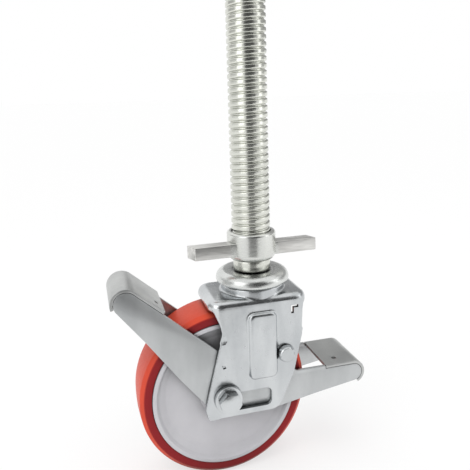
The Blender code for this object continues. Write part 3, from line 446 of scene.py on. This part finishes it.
def fork_mesh():
    """Pressed fork: remeshed and smoothed for soft edges, and then dented and punched."""
    through = LEG_OUT + 5.0
    hood = plate([rectangle(-46.5, 42.5, -LEG_OUT, LEG_OUT, 12.0, 12)], 107.0, TOP, upright=False)
    hood = bevelled(hood, HOOD_FILLET, 8, 60.0)
    rib = plate([rectangle(-13.6, 11.8, 88.3, 147.7, 5.2)], -LEG_OUT - RIB_RISE, LEG_OUT + RIB_RISE)
    rib = bevelled(rib, RIB_FILLET, 6, 60.0)
    boss = lathe(soften([(0.0, 164.0), (25.4, 164.0, 0.5), (25.6, BOSS_TOP, 0.3), (BOSS_RADIUS, BOSS_TOP, 1.0),
                         (BOSS_RADIUS, TOP - 3.0), (0.0, TOP - 3.0)]), 96)
    inside = plate([rectangle(-43.0, 39.0, -LEG_IN, LEG_IN, 8.5, 12)], 16.0, TOP - SHEET, upright=False)
    inside = bevelled(inside, 2.5, 4, 60.0)
    pocket = plate([rectangle(-10.7, 8.9, 91.2, 144.8, 2.0)], -LEG_OUT, LEG_OUT)
    dish = lathe([(0.0, TOP), (21.0, TOP), (24.5, TOP - 3.5), (24.5, TOP - 6.5), (0.0, TOP - 6.5)], 64)
    bore = lathe([(0.0, TOP + 9.0), (11.0, TOP + 9.0), (11.0, TOP - 9.0), (0.0, TOP - 9.0)], 48)
    slit = [(25.8, 150.3), (25.8, 143.0), (28.2, 143.0), (28.2, 147.9), (32.6, 147.9), (32.6, 150.3)]
    nick = [(-37.9, 104.9), (-36.6, 101.5), (-34.0, 102.2), (-35.0, 104.2)]
    shape = carve(hood, [
        ("INTERSECT", plate([hood_outline()], -through, through)),
        ("UNION", plate([leg_outline()], -LEG_OUT, LEG_OUT)),
        ("UNION", rib),
        ("UNION", boss),
        ("DIFFERENCE", inside),
        ("DIFFERENCE", block((-90.0, -LEG_IN, 20.0), (90.0, LEG_IN, 127.0))),
        ("DIFFERENCE", pocket),
        ("DIFFERENCE", dish),
        ("DIFFERENCE", bore),
    ])
    soft = carve(shape, [("REMESH", {"mode": "VOXEL", "voxel_size": VOXEL, "adaptivity": 0.0}),
                         ("SMOOTH", {"factor": 0.5, "iterations": 6})])
    dent = bmesh.new()
    bmesh.ops.create_icosphere(dent, subdivisions=5, radius=12.0,
                               matrix=Matrix.Translation((-36.0, -LEG_OUT - 11.4, 126.8)))
    return carve(soft, [
        ("DIFFERENCE", mesh_of(dent)),
        ("DIFFERENCE", plate([window_outline()], -through, through)),
        ("DIFFERENCE", plate([circle(PIVOT, HOLE_RADIUS)], -through, through)),
        ("DIFFERENCE", plate([slit], -through, -LEG_IN + 1.0)),
        ("DIFFERENCE", plate([nick], -through, -LEG_OUT + 1.0)),
    ])


def pin_mesh(side):
    seat = LEG_OUT + SEAT
    profile = soften([(0.0, seat + 5.5), (5.8, seat + 5.5, 0.5), (6.8, seat + 4.3, 0.6), (7.6, seat + 1.4, 0.5),
                      (7.6, seat, 0.2), (AXLE_RADIUS, seat), (AXLE_RADIUS, ARM_IN), (0.0, ARM_IN)])
    return lathe(profile, 48, centre=PIVOT, flip=FLIP[side])


# Rocker

def arm_outline():
    along = Vector((math.cos(BRAKE_ANGLE), math.sin(BRAKE_ANGLE)))
    up = Vector((along.y, -along.x))
    edge = BRAKE_END + up * BRAKE_END_RADIUS
    crook = edge - along * ARM_NECK
    start = math.atan2(up.y, up.x)
    release_top = RELEASE_END.y + RELEASE_END_RADIUS
    step = release_top + TREAD_STEP
    brake_arc = arc(BRAKE_END, BRAKE_END_RADIUS, start, start + math.radians(165.0), 24)
    release_arc = arc(RELEASE_END, RELEASE_END_RADIUS, -math.radians(82.0), math.pi / 2.0, 20)
    lower = rounded([(-100.5, 133.5, 0.0), (-72.0, 94.6, 60.0), (-45.5, 62.0, 12.0), (-36.0, 55.4, 10.0),
                     (8.0, 55.4, 20.0), (49.4, 62.3, 0.0)], 12)
    upper = rounded([(60.0, release_top, 0.0), (60.0, step, 1.0), (28.5, step + 0.3, 4.0),
                     (PIVOT[0] + 10.5, PIVOT[1] - 6.0, 8.0), (PIVOT[0] + 10.5, PIVOT[1] + 12.0, 11.0),
                     (PIVOT[0] - 12.0, PIVOT[1] + 12.0, 11.0), (crook.x, crook.y, 20.0),
                     (edge.x, edge.y, 0.0)], 10)
    return brake_arc + lower + release_arc + upper[:-1]


def cam_slot():
    """Slot along the axle's path across the rocker plate, as the rocker tilts and the axle slides."""
    rest = Vector(AXLE)
    travel = Vector(AXLE_CENTRED) - rest
    pivot = Vector(PIVOT)
    path = []
    for k in range(25):
        share = k / 24.0
        turn = Matrix.Rotation(-TILT * share, 2)
        path.append(pivot + turn @ (rest + travel * share - pivot))
    return ribbon(path, AXLE_ROOM, round_ends=True)


def arm_mesh(side):
    sign = -FLIP[side]
    low, high = sorted((sign * ARM_IN, sign * ARM_OUT))
    return plate([arm_outline(), cam_slot(), circle(PIVOT, HOLE_RADIUS)], low, high, 0.35)


def pedal_mesh(kind):
    """Strip folded over the ends of both rocker plates, with a small hole near its edge."""
    middle = SEAT + TREAD_HALF_SHEET
    if kind == "brake":
        along = Vector((math.cos(BRAKE_ANGLE), math.sin(BRAKE_ANGLE)))
        up = Vector((along.y, -along.x))
        start = math.atan2(up.y, up.x)
        radius = BRAKE_END_RADIUS + middle
        curl = arc(BRAKE_END, radius, start, start + math.radians(150.0), 32)
        path = [BRAKE_END + up * radius - along * BRAKE_TREAD] + curl
        spot = path[0] + along * BRAKE_HOLE_INSET
        turn = Matrix.Rotation(math.pi / 2.0 - start, 4, "Y")
    else:
        radius = RELEASE_END_RADIUS + middle
        curl = arc(RELEASE_END, radius, math.pi / 2.0, -math.radians(65.0), 32)
        path = [Vector((RELEASE_TREAD_START, RELEASE_END.y + radius))] + curl
        spot = path[0] + Vector((RELEASE_HOLE_INSET, 0.0))
        turn = Matrix.Identity(4)
    sheet = plate([ribbon(path, TREAD_HALF_SHEET)], -ARM_OUT, ARM_OUT, 0.5, edge_steps=3)
    hole = lathe([(0.0, 5.0), (TREAD_HOLE_RADIUS, 5.0), (TREAD_HOLE_RADIUS, -5.0), (0.0, -5.0)], 32)
    hole.transform(Matrix.Translation((spot.x, TREAD_HOLE_SIDE, spot.y)) @ turn)
    return carve(sheet, [("DIFFERENCE", hole)])


# Axle and wheel

def hexagon(low, high):
    """Hexagonal head on the axle between two distances from the middle, with a turned chamfer on its outer end."""
    body = bmesh.new()
    corner = HEX_ACROSS / math.sqrt(3.0)
    bmesh.ops.create_cone(body, cap_ends=True, segments=6, radius1=corner, radius2=corner, depth=high - low)
    body.transform(Matrix.Translation((0.0, 0.0, (low + high) / 2.0)) @ Matrix.Rotation(math.radians(20.0), 4, "Z"))
    prism = bevelled(mesh_of(body), 0.25, 2)
    dome = lathe([(0.0, high), (8.1, high), (8.1 + 3.0, high - 1.75), (12.0, low - 1.0), (0.0, low - 1.0)], 96)
    return carve(prism, [("INTERSECT", dome)])


def on_axle(mesh, side):
    turn = Matrix.Rotation(math.radians(90.0) * FLIP[side], 4, "X")
    mesh.transform(Matrix.Translation((AXLE[0], 0.0, AXLE[1])) @ turn)
    return mesh


def bolt_mesh():
    tail = HEAD_SEAT + 11.0
    root = HEAD_SEAT + 3.4
    head = hexagon(HEAD_SEAT, HEAD_SEAT + 6.8)
    shank = lathe(soften([(0.0, root), (AXLE_RADIUS, root), (AXLE_RADIUS, -tail, 0.8), (0.0, -tail)]), 48)
    return on_axle(carve(head, [("UNION", shank)]), "near")


def locknut_mesh():
    nut = hexagon(HEAD_SEAT, HEAD_SEAT + 6.4)
    root = HEAD_SEAT + 3.0
    end = HEAD_SEAT + 9.0
    collar = lathe(soften([(0.0, root), (7.6, root), (7.6, end, 1.6), (5.8, end), (0.0, end)], 6), 64)
    high = HEAD_SEAT + 12.0
    low = HEAD_SEAT - 3.0
    hole = lathe([(0.0, high), (HOLE_RADIUS, high), (HOLE_RADIUS, low), (0.0, low)], 48)
    return on_axle(carve(nut, [("UNION", collar), ("DIFFERENCE", hole)]), "far")


def collar_mesh(side):
    low = LEG_OUT + SEAT
    high = low + COLLAR_THICKNESS
    profile = soften([(HOLE_RADIUS, low), (COLLAR_RADIUS, low, 0.3), (COLLAR_RADIUS, high, 0.8),
                      (HOLE_RADIUS, high)])
    return on_axle(lathe(profile, 80, closed=True), side)


def hub_mesh():
    side = soften([(12.8, HUB_HALF), (20.0, HUB_HALF, 1.2), (21.6, 17.6, 1.5), (52.5, 17.2, 6.0),
                   (58.0, 19.5, 3.5), (60.4, HUB_HALF, 1.0), (HUB_RADIUS, HUB_HALF, 0.9), (HUB_RADIUS, 20.9)], 8)
    return on_axle(lathe(mirrored(side), 192, closed=True), "near")


def tyre_mesh():
    side = soften([(TYRE_INNER, 20.0), (TYRE_INNER, TYRE_HALF, 0.3), (70.4, TYRE_HALF, 1.7), (74.2, 17.9, 3.0),
                   (74.7, 10.0, 10.0), (WHEEL_RADIUS, 0.0)], 6)
    profile = mirrored(side)
    del profile[len(side)]
    return on_axle(lathe(profile, 224, closed=True), "near")


# Materials

BAR_ROUGHNESS = 0.36


class Nodes:
    """Short way to write a node tree."""

    def __init__(self, name):
        self.material = bpy.data.materials.new(name)
        self.material.use_nodes = True
        self.tree = self.material.node_tree
        self.shader = self.tree.nodes["Principled BSDF"]
        self.place = self.add("ShaderNodeTexCoord").outputs["Object"]

    def add(self, kind):
        return self.tree.nodes.new(kind)

    def link(self, source, target):
        self.tree.links.new(source, target)

    def noise(self, scale, detail, stretch=(1.0, 1.0, 1.0)):
        spread = self.add("ShaderNodeMapping")
        spread.inputs["Scale"].default_value = stretch
        self.link(self.place, spread.inputs["Vector"])
        node = self.add("ShaderNodeTexNoise")
        node.inputs["Scale"].default_value = scale
        node.inputs["Detail"].default_value = detail
        self.link(spread.outputs["Vector"], node.inputs["Vector"])
        return node.outputs["Fac"]

    def ramp(self, source, stops):
        node = self.add("ShaderNodeValToRGB")
        while len(node.color_ramp.elements) < len(stops):
            node.color_ramp.elements.new(0.5)
        for element, (position, value) in zip(node.color_ramp.elements, stops):
            element.position = position
            element.color = (*value, 1.0) if isinstance(value, tuple) else (value, value, value, 1.0)
        self.link(source, node.inputs["Fac"])
        return node.outputs["Color"]

    def math(self, operation, first, second):
        node = self.add("ShaderNodeMath")
        node.operation = operation
        node.use_clamp = True
        self.link(first, node.inputs[0])
        if isinstance(second, float):
            node.inputs[1].default_value = second
        else:
            self.link(second, node.inputs[1])
        return node.outputs["Value"]

    def blend(self, share, first, second):
        """Mix two colours by share. The second may be a plain colour."""
        node = self.add("ShaderNodeMix")
        node.data_type = "RGBA"
        self.link(share, node.inputs[0])
        self.link(first, node.inputs[6])
        if isinstance(second, tuple):
            node.inputs[7].default_value = (*second, 1.0)
        else:
            self.link(second, node.inputs[7])
        return node.outputs[2]

    def multiply(self, first, second):
        node = self.add("ShaderNodeMix")
        node.data_type = "RGBA"
        node.blend_type = "MULTIPLY"
        node.inputs[0].default_value = 1.0
        self.link(first, node.inputs[6])
        self.link(second, node.inputs[7])
        return node.outputs[2]

    def edges(self, radius):
        """One along edges, where a rounded normal leaves the flat one, and nought elsewhere."""
        round_off = self.add("ShaderNodeBevel")
        round_off.samples = 4
        round_off.inputs["Radius"].default_value = radius
        normal = self.add("ShaderNodeNewGeometry").outputs["Normal"]
        dot = self.add("ShaderNodeVectorMath")
        dot.operation = "DOT_PRODUCT"
        self.link(round_off.outputs["Normal"], dot.inputs[0])
        self.link(normal, dot.inputs[1])
        return self.ramp(dot.outputs["Value"], [(0.80, 1.0), (0.985, 0.0)])

    def painted_shade(self, distance, floor, hidden=0.25, free=0.75):
        """Painted shade: one in the open, down to floor where another surface is near."""
        node = self.add("ShaderNodeAmbientOcclusion")
        node.samples = 8
        node.inputs["Distance"].default_value = distance
        return self.ramp(node.outputs["AO"], [(hidden, floor), (free, 1.0)])

    def beyond(self, axis, start, end):
        """Nought within start of the frame's middle plane across an axis, one beyond end, in millimetres."""
        split = self.add("ShaderNodeSeparateXYZ")
        self.link(self.place, split.inputs["Vector"])
        size = self.add("ShaderNodeMath")
        size.operation = "ABSOLUTE"
        self.link(split.outputs[axis], size.inputs[0])
        spread = self.add("ShaderNodeMapRange")
        spread.inputs["From Min"].default_value = start * MM
        spread.inputs["From Max"].default_value = end * MM
        self.link(size.outputs["Value"], spread.inputs["Value"])
        return spread.outputs["Result"]

    def bump(self, source, strength, distance):
        node = self.add("ShaderNodeBump")
        node.inputs["Strength"].default_value = strength
        node.inputs["Distance"].default_value = distance
        self.link(source, node.inputs["Height"])
        return node


def zinc(name, dark, light, rough, grain=260.0, stretch=(1.0, 1.0, 1.0), bump=0.03, seam_shade=0.30, reach=0.0025,
         rim=None, bars=None):
    """Zinc-plated steel: cloudy plating, fine grain, a rim tone along edges, painted shade in seams and in hollows.

    Bars gives two tones for what lies beyond the nut's barrel.
    """
    nodes = Nodes(name)
    cloud = nodes.noise(45.0, 3.0, (1.0, 1.0, 0.35))
    fine = nodes.noise(grain, 2.0, stretch)
    colour = nodes.ramp(cloud, [(0.32, dark), (0.68, light)])
    rim = rim or tuple(min(1.0, value * 1.12) for value in light)
    colour = nodes.blend(nodes.math("MULTIPLY", nodes.edges(0.0006), 0.7), colour, rim)
    polish = nodes.ramp(fine, [(0.25, rough[0]), (0.75, rough[1])])
    if bars:
        far = nodes.beyond("X", NUT_RADIUS + 0.2, NUT_RADIUS + 1.2)
        streak = nodes.noise(420.0, 2.0, (0.15, 1.0, 1.0))
        colour = nodes.blend(far, colour, nodes.ramp(streak, [(0.3, bars[0]), (0.7, bars[1])]))
        polish = nodes.blend(far, polish, (BAR_ROUGHNESS, BAR_ROUGHNESS, BAR_ROUGHNESS))
    # Painted shade: darker in seams and beside other parts, and in the hollows inside the fork.
    colour = nodes.multiply(colour, nodes.painted_shade(reach, seam_shade))
    colour = nodes.multiply(colour, nodes.painted_shade(0.03, 0.22, hidden=0.12, free=0.48))
    nodes.link(colour, nodes.shader.inputs["Base Color"])
    nodes.link(polish, nodes.shader.inputs["Roughness"])
    nodes.shader.inputs["Metallic"].default_value = 1.0
    nodes.link(nodes.bump(fine, bump, 0.0001).outputs["Normal"], nodes.shader.inputs["Normal"])
    return nodes.material


def plastic(name, stops, rough, grain, bump, side=None):
    """Moulded plastic with a fine grain. Side darkens what lies beyond a distance from the wheel's middle plane."""
    nodes = Nodes(name)
    cloud = nodes.noise(30.0, 3.0)
    fine = nodes.noise(grain, 2.0)
    colour = nodes.ramp(cloud, stops)
    if side:
        start, end, shade = side
        # The darker sidewall is partly the tyre's own darker skin, partly painted shade on its side faces.
        colour = nodes.blend(nodes.beyond("Y", start, end), colour, shade)
        nodes.shader.inputs["Specular IOR Level"].default_value = 0.22
    # Painted shade: darker in seams, and on the wheel where the fork and rocker come near.
    colour = nodes.multiply(colour, nodes.painted_shade(0.004, 0.5))
    colour = nodes.multiply(colour, nodes.painted_shade(0.035, 0.30, free=0.92))
    nodes.link(colour, nodes.shader.inputs["Base Color"])
    nodes.link(nodes.ramp(fine, [(0.3, rough[0]), (0.7, rough[1])]), nodes.shader.inputs["Roughness"])
    nodes.link(nodes.bump(fine, bump, 0.0001).outputs["Normal"], nodes.shader.inputs["Normal"])
    return nodes.material


def dress(item, material):
    item.data.materials.clear()
    item.data.materials.append(material)


# Studio

TOP_LIGHT = 1.6
LEFT_LAMP = 3.0
RIGHT_LAMP = 1.5
ROOM_LIGHT = 0.58
FLOOR_GLOW = 0.66
FLOOR_HALF = 30000.0
FLOOR_DEPTH = 20.0

# The picture's width, the focal length and AXIS_ROW are in pixels, SENSOR is in millimetres
PICTURE = 470.0
FOCAL = 552.23
AXIS_ROW = 165.23
SENSOR = 36.0
CAMERA_PLACE = (-0.1409, -0.46105, 0.33574)
CAMERA_YAW = math.radians(15.5)
CAMERA_PITCH = math.radians(7.56)
CAMERA_ROLL = math.radians(-1.66)

CLOTH_DISTANCE = 2.6
CLOTH_STEPS = 24
# Grey cloths round the set, seen only in reflections: name, first and last bearing, low and high edge, level
CURTAINS = [
    ("cloth_front", -29.0, 31.0, 0.02, 3.6, 0.07),
    ("cloth_left", -130.0, -29.0, 0.45, 1.4, 0.45),
    ("cloth_right", 31.0, 100.0, 0.35, 1.5, 0.40),
    ("cloth_back", 100.0, 170.0, 0.55, 3.0, 0.38),
]


def seen_ray(tree):
    """Camera, mirror and see-through rays, which all show the white background."""
    path = tree.nodes.new("ShaderNodeLightPath")
    total = path.outputs["Is Camera Ray"]
    for kind in ("Is Glossy Ray", "Is Transmission Ray"):
        node = tree.nodes.new("ShaderNodeMath")
        node.operation = "ADD"
        node.use_clamp = True
        tree.links.new(total, node.inputs[0])
        tree.links.new(path.outputs[kind], node.inputs[1])
        total = node.outputs["Value"]
    return total


def curtain(name, start, end, low, high, level, inner=CLOTH_DISTANCE):
    """Grey cloth on an arc round the set, whose lower edge may come further in.

    Bearings count from straight in front (-Y) towards +X. Lengths are in metres.
    """
    body = bmesh.new()
    columns = []
    for k in range(CLOTH_STEPS + 1):
        bearing = math.radians(start + (end - start) * k / CLOTH_STEPS)
        ray = Vector((math.sin(bearing), -math.cos(bearing), 0.0))
        lower = ray * inner + Vector((0.0, 0.0, low))
        upper = ray * CLOTH_DISTANCE + Vector((0.0, 0.0, high))
        columns.append((body.verts.new(lower), body.verts.new(upper)))
    for left, right in zip(columns, columns[1:]):
        body.faces.new((left[0], right[0], right[1], left[1]))
    mesh = bpy.data.meshes.new(name)
    body.to_mesh(mesh)
    body.free()
    cloth = bpy.data.objects.new(name, mesh)
    bpy.context.scene.collection.objects.link(cloth)
    cloth.visible_camera = False
    cloth.visible_diffuse = False
    cloth.visible_shadow = False
    cloth.visible_transmission = False
    nodes = Nodes(name)
    glow = nodes.add("ShaderNodeEmission")
    glow.inputs["Color"].default_value = (level, level, level, 1.0)
    nodes.link(glow.outputs["Emission"], nodes.tree.nodes["Material Output"].inputs["Surface"])
    dress(cloth, nodes.material)


def add_camera():
    """Camera as fitted to the photograph. Its axis meets the square picture in the middle of row AXIS_ROW."""
    forward = Vector((math.sin(CAMERA_YAW) * math.cos(CAMERA_PITCH), math.cos(CAMERA_YAW) * math.cos(CAMERA_PITCH),
                      -math.sin(CAMERA_PITCH)))
    right = Vector((math.cos(CAMERA_YAW), -math.sin(CAMERA_YAW), 0.0))
    up = right.cross(forward)
    across = right * math.cos(CAMERA_ROLL) + up * math.sin(CAMERA_ROLL)
    upward = up * math.cos(CAMERA_ROLL) - right * math.sin(CAMERA_ROLL)
    turn = Matrix((across, upward, -forward)).transposed().to_4x4()
    data = bpy.data.cameras.new("camera")
    data.sensor_width = SENSOR
    data.lens = FOCAL / PICTURE * SENSOR
    data.shift_y = -(PICTURE / 2.0 - AXIS_ROW) / PICTURE
    data.clip_start = 0.01
    camera = bpy.data.objects.new("camera", data)
    camera.matrix_world = Matrix.Translation(CAMERA_PLACE) @ turn
    bpy.context.scene.collection.objects.link(camera)
    bpy.context.scene.camera = camera


def add_lamp(name, place, size, power):
    """Soft rectangular lamp aimed at the castor."""
    light = bpy.data.lights.new(name, "AREA")
    light.shape = "RECTANGLE"
    light.size, light.size_y = size
    light.energy = power
    item = bpy.data.objects.new(name, light)
    item.location = place
    item.rotation_euler = (Vector((0.0, 0.0, 0.15)) - Vector(place)).to_track_quat("-Z", "Y").to_euler()
    bpy.context.scene.collection.objects.link(item)


def add_lights():
    sun = bpy.data.lights.new("soft_top", "SUN")
    sun.energy = TOP_LIGHT
    sun.angle = math.radians(70.0)
    item = bpy.data.objects.new("soft_top", sun)
    item.visible_glossy = False
    item.rotation_euler = Vector((0.25, 0.2, -1.0)).to_track_quat("-Z", "Y").to_euler()
    bpy.context.scene.collection.objects.link(item)
    add_lamp("soft_left", (-1.1, -0.7, 0.7), (0.8, 1.0), LEFT_LAMP)
    add_lamp("soft_right", (1.2, -0.6, 0.6), (0.5, 0.9), RIGHT_LAMP)


def add_world():
    """Even room light that the camera and mirrors see as white."""
    world = bpy.data.worlds.new("studio")
    world.use_nodes = True
    bpy.context.scene.world = world
    tree = world.node_tree
    room = tree.nodes["Background"]
    room.inputs["Color"].default_value = (1.0, 1.0, 1.0, 1.0)
    room.inputs["Strength"].default_value = ROOM_LIGHT
    white = tree.nodes.new("ShaderNodeBackground")
    white.inputs["Color"].default_value = (1.0, 1.0, 1.0, 1.0)
    white.inputs["Strength"].default_value = 1.0
    mix = tree.nodes.new("ShaderNodeMixShader")
    tree.links.new(seen_ray(tree), mix.inputs["Fac"])
    tree.links.new(room.outputs["Background"], mix.inputs[1])
    tree.links.new(white.outputs["Background"], mix.inputs[2])
    tree.links.new(mix.outputs["Shader"], tree.nodes["World Output"].inputs["Surface"])


def add_floor():
    """Pale paper that keeps the castor's shadow and glows a little to whoever sees it."""
    floor_mesh = block((-FLOOR_HALF, -FLOOR_HALF, -FLOOR_DEPTH), (FLOOR_HALF, FLOOR_HALF, 0.0))
    floor_mesh.transform(Matrix.Scale(MM, 4))
    floor = bpy.data.objects.new("floor", floor_mesh)
    bpy.context.scene.collection.objects.link(floor)
    nodes = Nodes("floor_paper")
    nodes.shader.inputs["Base Color"].default_value = (0.92, 0.92, 0.92, 1.0)
    nodes.shader.inputs["Roughness"].default_value = 0.9
    nodes.shader.inputs["Specular IOR Level"].default_value = 0.1
    glow = nodes.add("ShaderNodeEmission")
    glow.inputs["Strength"].default_value = 1.0
    mix = nodes.add("ShaderNodeMixShader")
    share = nodes.add("ShaderNodeMath")
    share.operation = "MULTIPLY"
    share.inputs[1].default_value = FLOOR_GLOW
    nodes.link(seen_ray(nodes.tree), share.inputs[0])
    nodes.link(share.outputs["Value"], mix.inputs["Fac"])
    nodes.link(nodes.shader.outputs["BSDF"], mix.inputs[1])
    nodes.link(glow.outputs["Emission"], mix.inputs[2])
    nodes.link(mix.outputs["Shader"], nodes.tree.nodes["Material Output"].inputs["Surface"])
    dress(floor, nodes.material)


def studio():
    add_camera()
    add_lights()
    add_world()
    for name, start, end, low, high, level in CURTAINS:
        curtain(name, start, end, low, high, level)
    # A dark strip low on the floor in front, seen only in reflections: a painted dark reflection.
    curtain("cloth_floor", -29.0, 12.0, 0.004, 0.004, 0.25, inner=0.42)
    add_floor()
    bpy.context.scene.view_settings.view_transform = "Standard"


def main():
    studio()
    # Dark tone along the edges of the fork and the treads: partly the bare cut edge, partly painted shade along
    # edges and seams.
    dark_edge_tone = (0.26, 0.28, 0.29)
    bright = zinc("bright_zinc", (0.50, 0.52, 0.535), (0.66, 0.68, 0.69), (0.20, 0.28), seam_shade=0.12, rim=dark_edge_tone)
    polished = zinc("rivet_zinc", (0.55, 0.57, 0.58), (0.64, 0.66, 0.67), (0.20, 0.28), seam_shade=0.2)
    satin = zinc("cap_zinc", (0.64, 0.655, 0.64), (0.76, 0.775, 0.76), (0.24, 0.32), bump=0.015, seam_shade=0.6,
                 reach=0.004)
    cast = zinc("nut_zinc", (0.61, 0.62, 0.60), (0.73, 0.74, 0.71), (0.22, 0.32), 300.0, (0.1, 0.1, 4.0), 0.10,
                seam_shade=0.5, bars=((0.60, 0.595, 0.575), (0.80, 0.795, 0.77)))
    turned = zinc("thread_zinc", (0.65, 0.66, 0.61), (0.76, 0.77, 0.71), (0.20, 0.28), 200.0, (0.2, 0.2, 3.0), 0.04,
                  seam_shade=0.55)
    dull = zinc("dull_zinc", (0.50, 0.515, 0.52), (0.60, 0.615, 0.62), (0.34, 0.46), 500.0, seam_shade=0.35)
    tread = zinc("tread_zinc", (0.49, 0.50, 0.495), (0.58, 0.59, 0.58), (0.34, 0.46), 500.0, seam_shade=0.25, rim=dark_edge_tone)
    steel = zinc("inner_steel", (0.35, 0.35, 0.36), (0.45, 0.45, 0.46), (0.30, 0.45))
    nylon = plastic("white_nylon", [(0.3, (0.52, 0.515, 0.54)), (0.7, (0.60, 0.595, 0.62))], (0.34, 0.46), 500.0,
                    0.05)
    red = plastic("red_tyre", [(0.3, (0.58, 0.058, 0.028)), (0.7, (0.66, 0.076, 0.036))], (0.36, 0.48), 700.0, 0.06,
                  (20.3, TYRE_HALF, (0.26, 0.010, 0.013)))

    dress(finish("threaded_spindle", spindle_mesh(), "spindle", ["spindle"], 40.0), turned)
    dress(finish("wing_nut", nut_mesh(), "nut", ["adjusting_nut"], 40.0), cast)
    dress(finish("bearing_cap", cap_mesh(), "spindle", ["swivel_cap"], 40.0), satin)
    dress(finish("pressed_fork", fork_mesh(), "fork", ["fork_housing"], 40.0), bright)
    for side in FLIP:
        dress(finish("rocker_plate_" + side, arm_mesh(side), "rocker", ["rocker_arm_" + side]), dull)
        dress(finish("rocker_rivet_" + side, pin_mesh(side), "fork", ["pivot_pin_" + side]),
              polished)
        dress(finish("washer_" + side, collar_mesh(side), "axle", ["axle_collar_" + side]),
              polished)
    for kind in ("brake", "release"):
        dress(finish(kind + "_tread", pedal_mesh(kind), "rocker", [kind + "_pedal"]), tread)
    dress(finish("hex_bolt", bolt_mesh(), "axle", ["axle_bolt"]), polished)
    dress(finish("lock_nut", locknut_mesh(), "axle", ["axle_locknut"]), polished)
    dress(finish("nylon_wheel", hub_mesh(), "wheel", ["wheel_hub"]), nylon)
    dress(finish("red_tread", tyre_mesh(), "wheel", ["tyre"]), red)
    for name in ("kingpin", "lower_race", "lower_ball_ring", "upper_ball_ring", "wheel_bearing", "axle_sleeve"):
        dress(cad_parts[name], steel)


main()
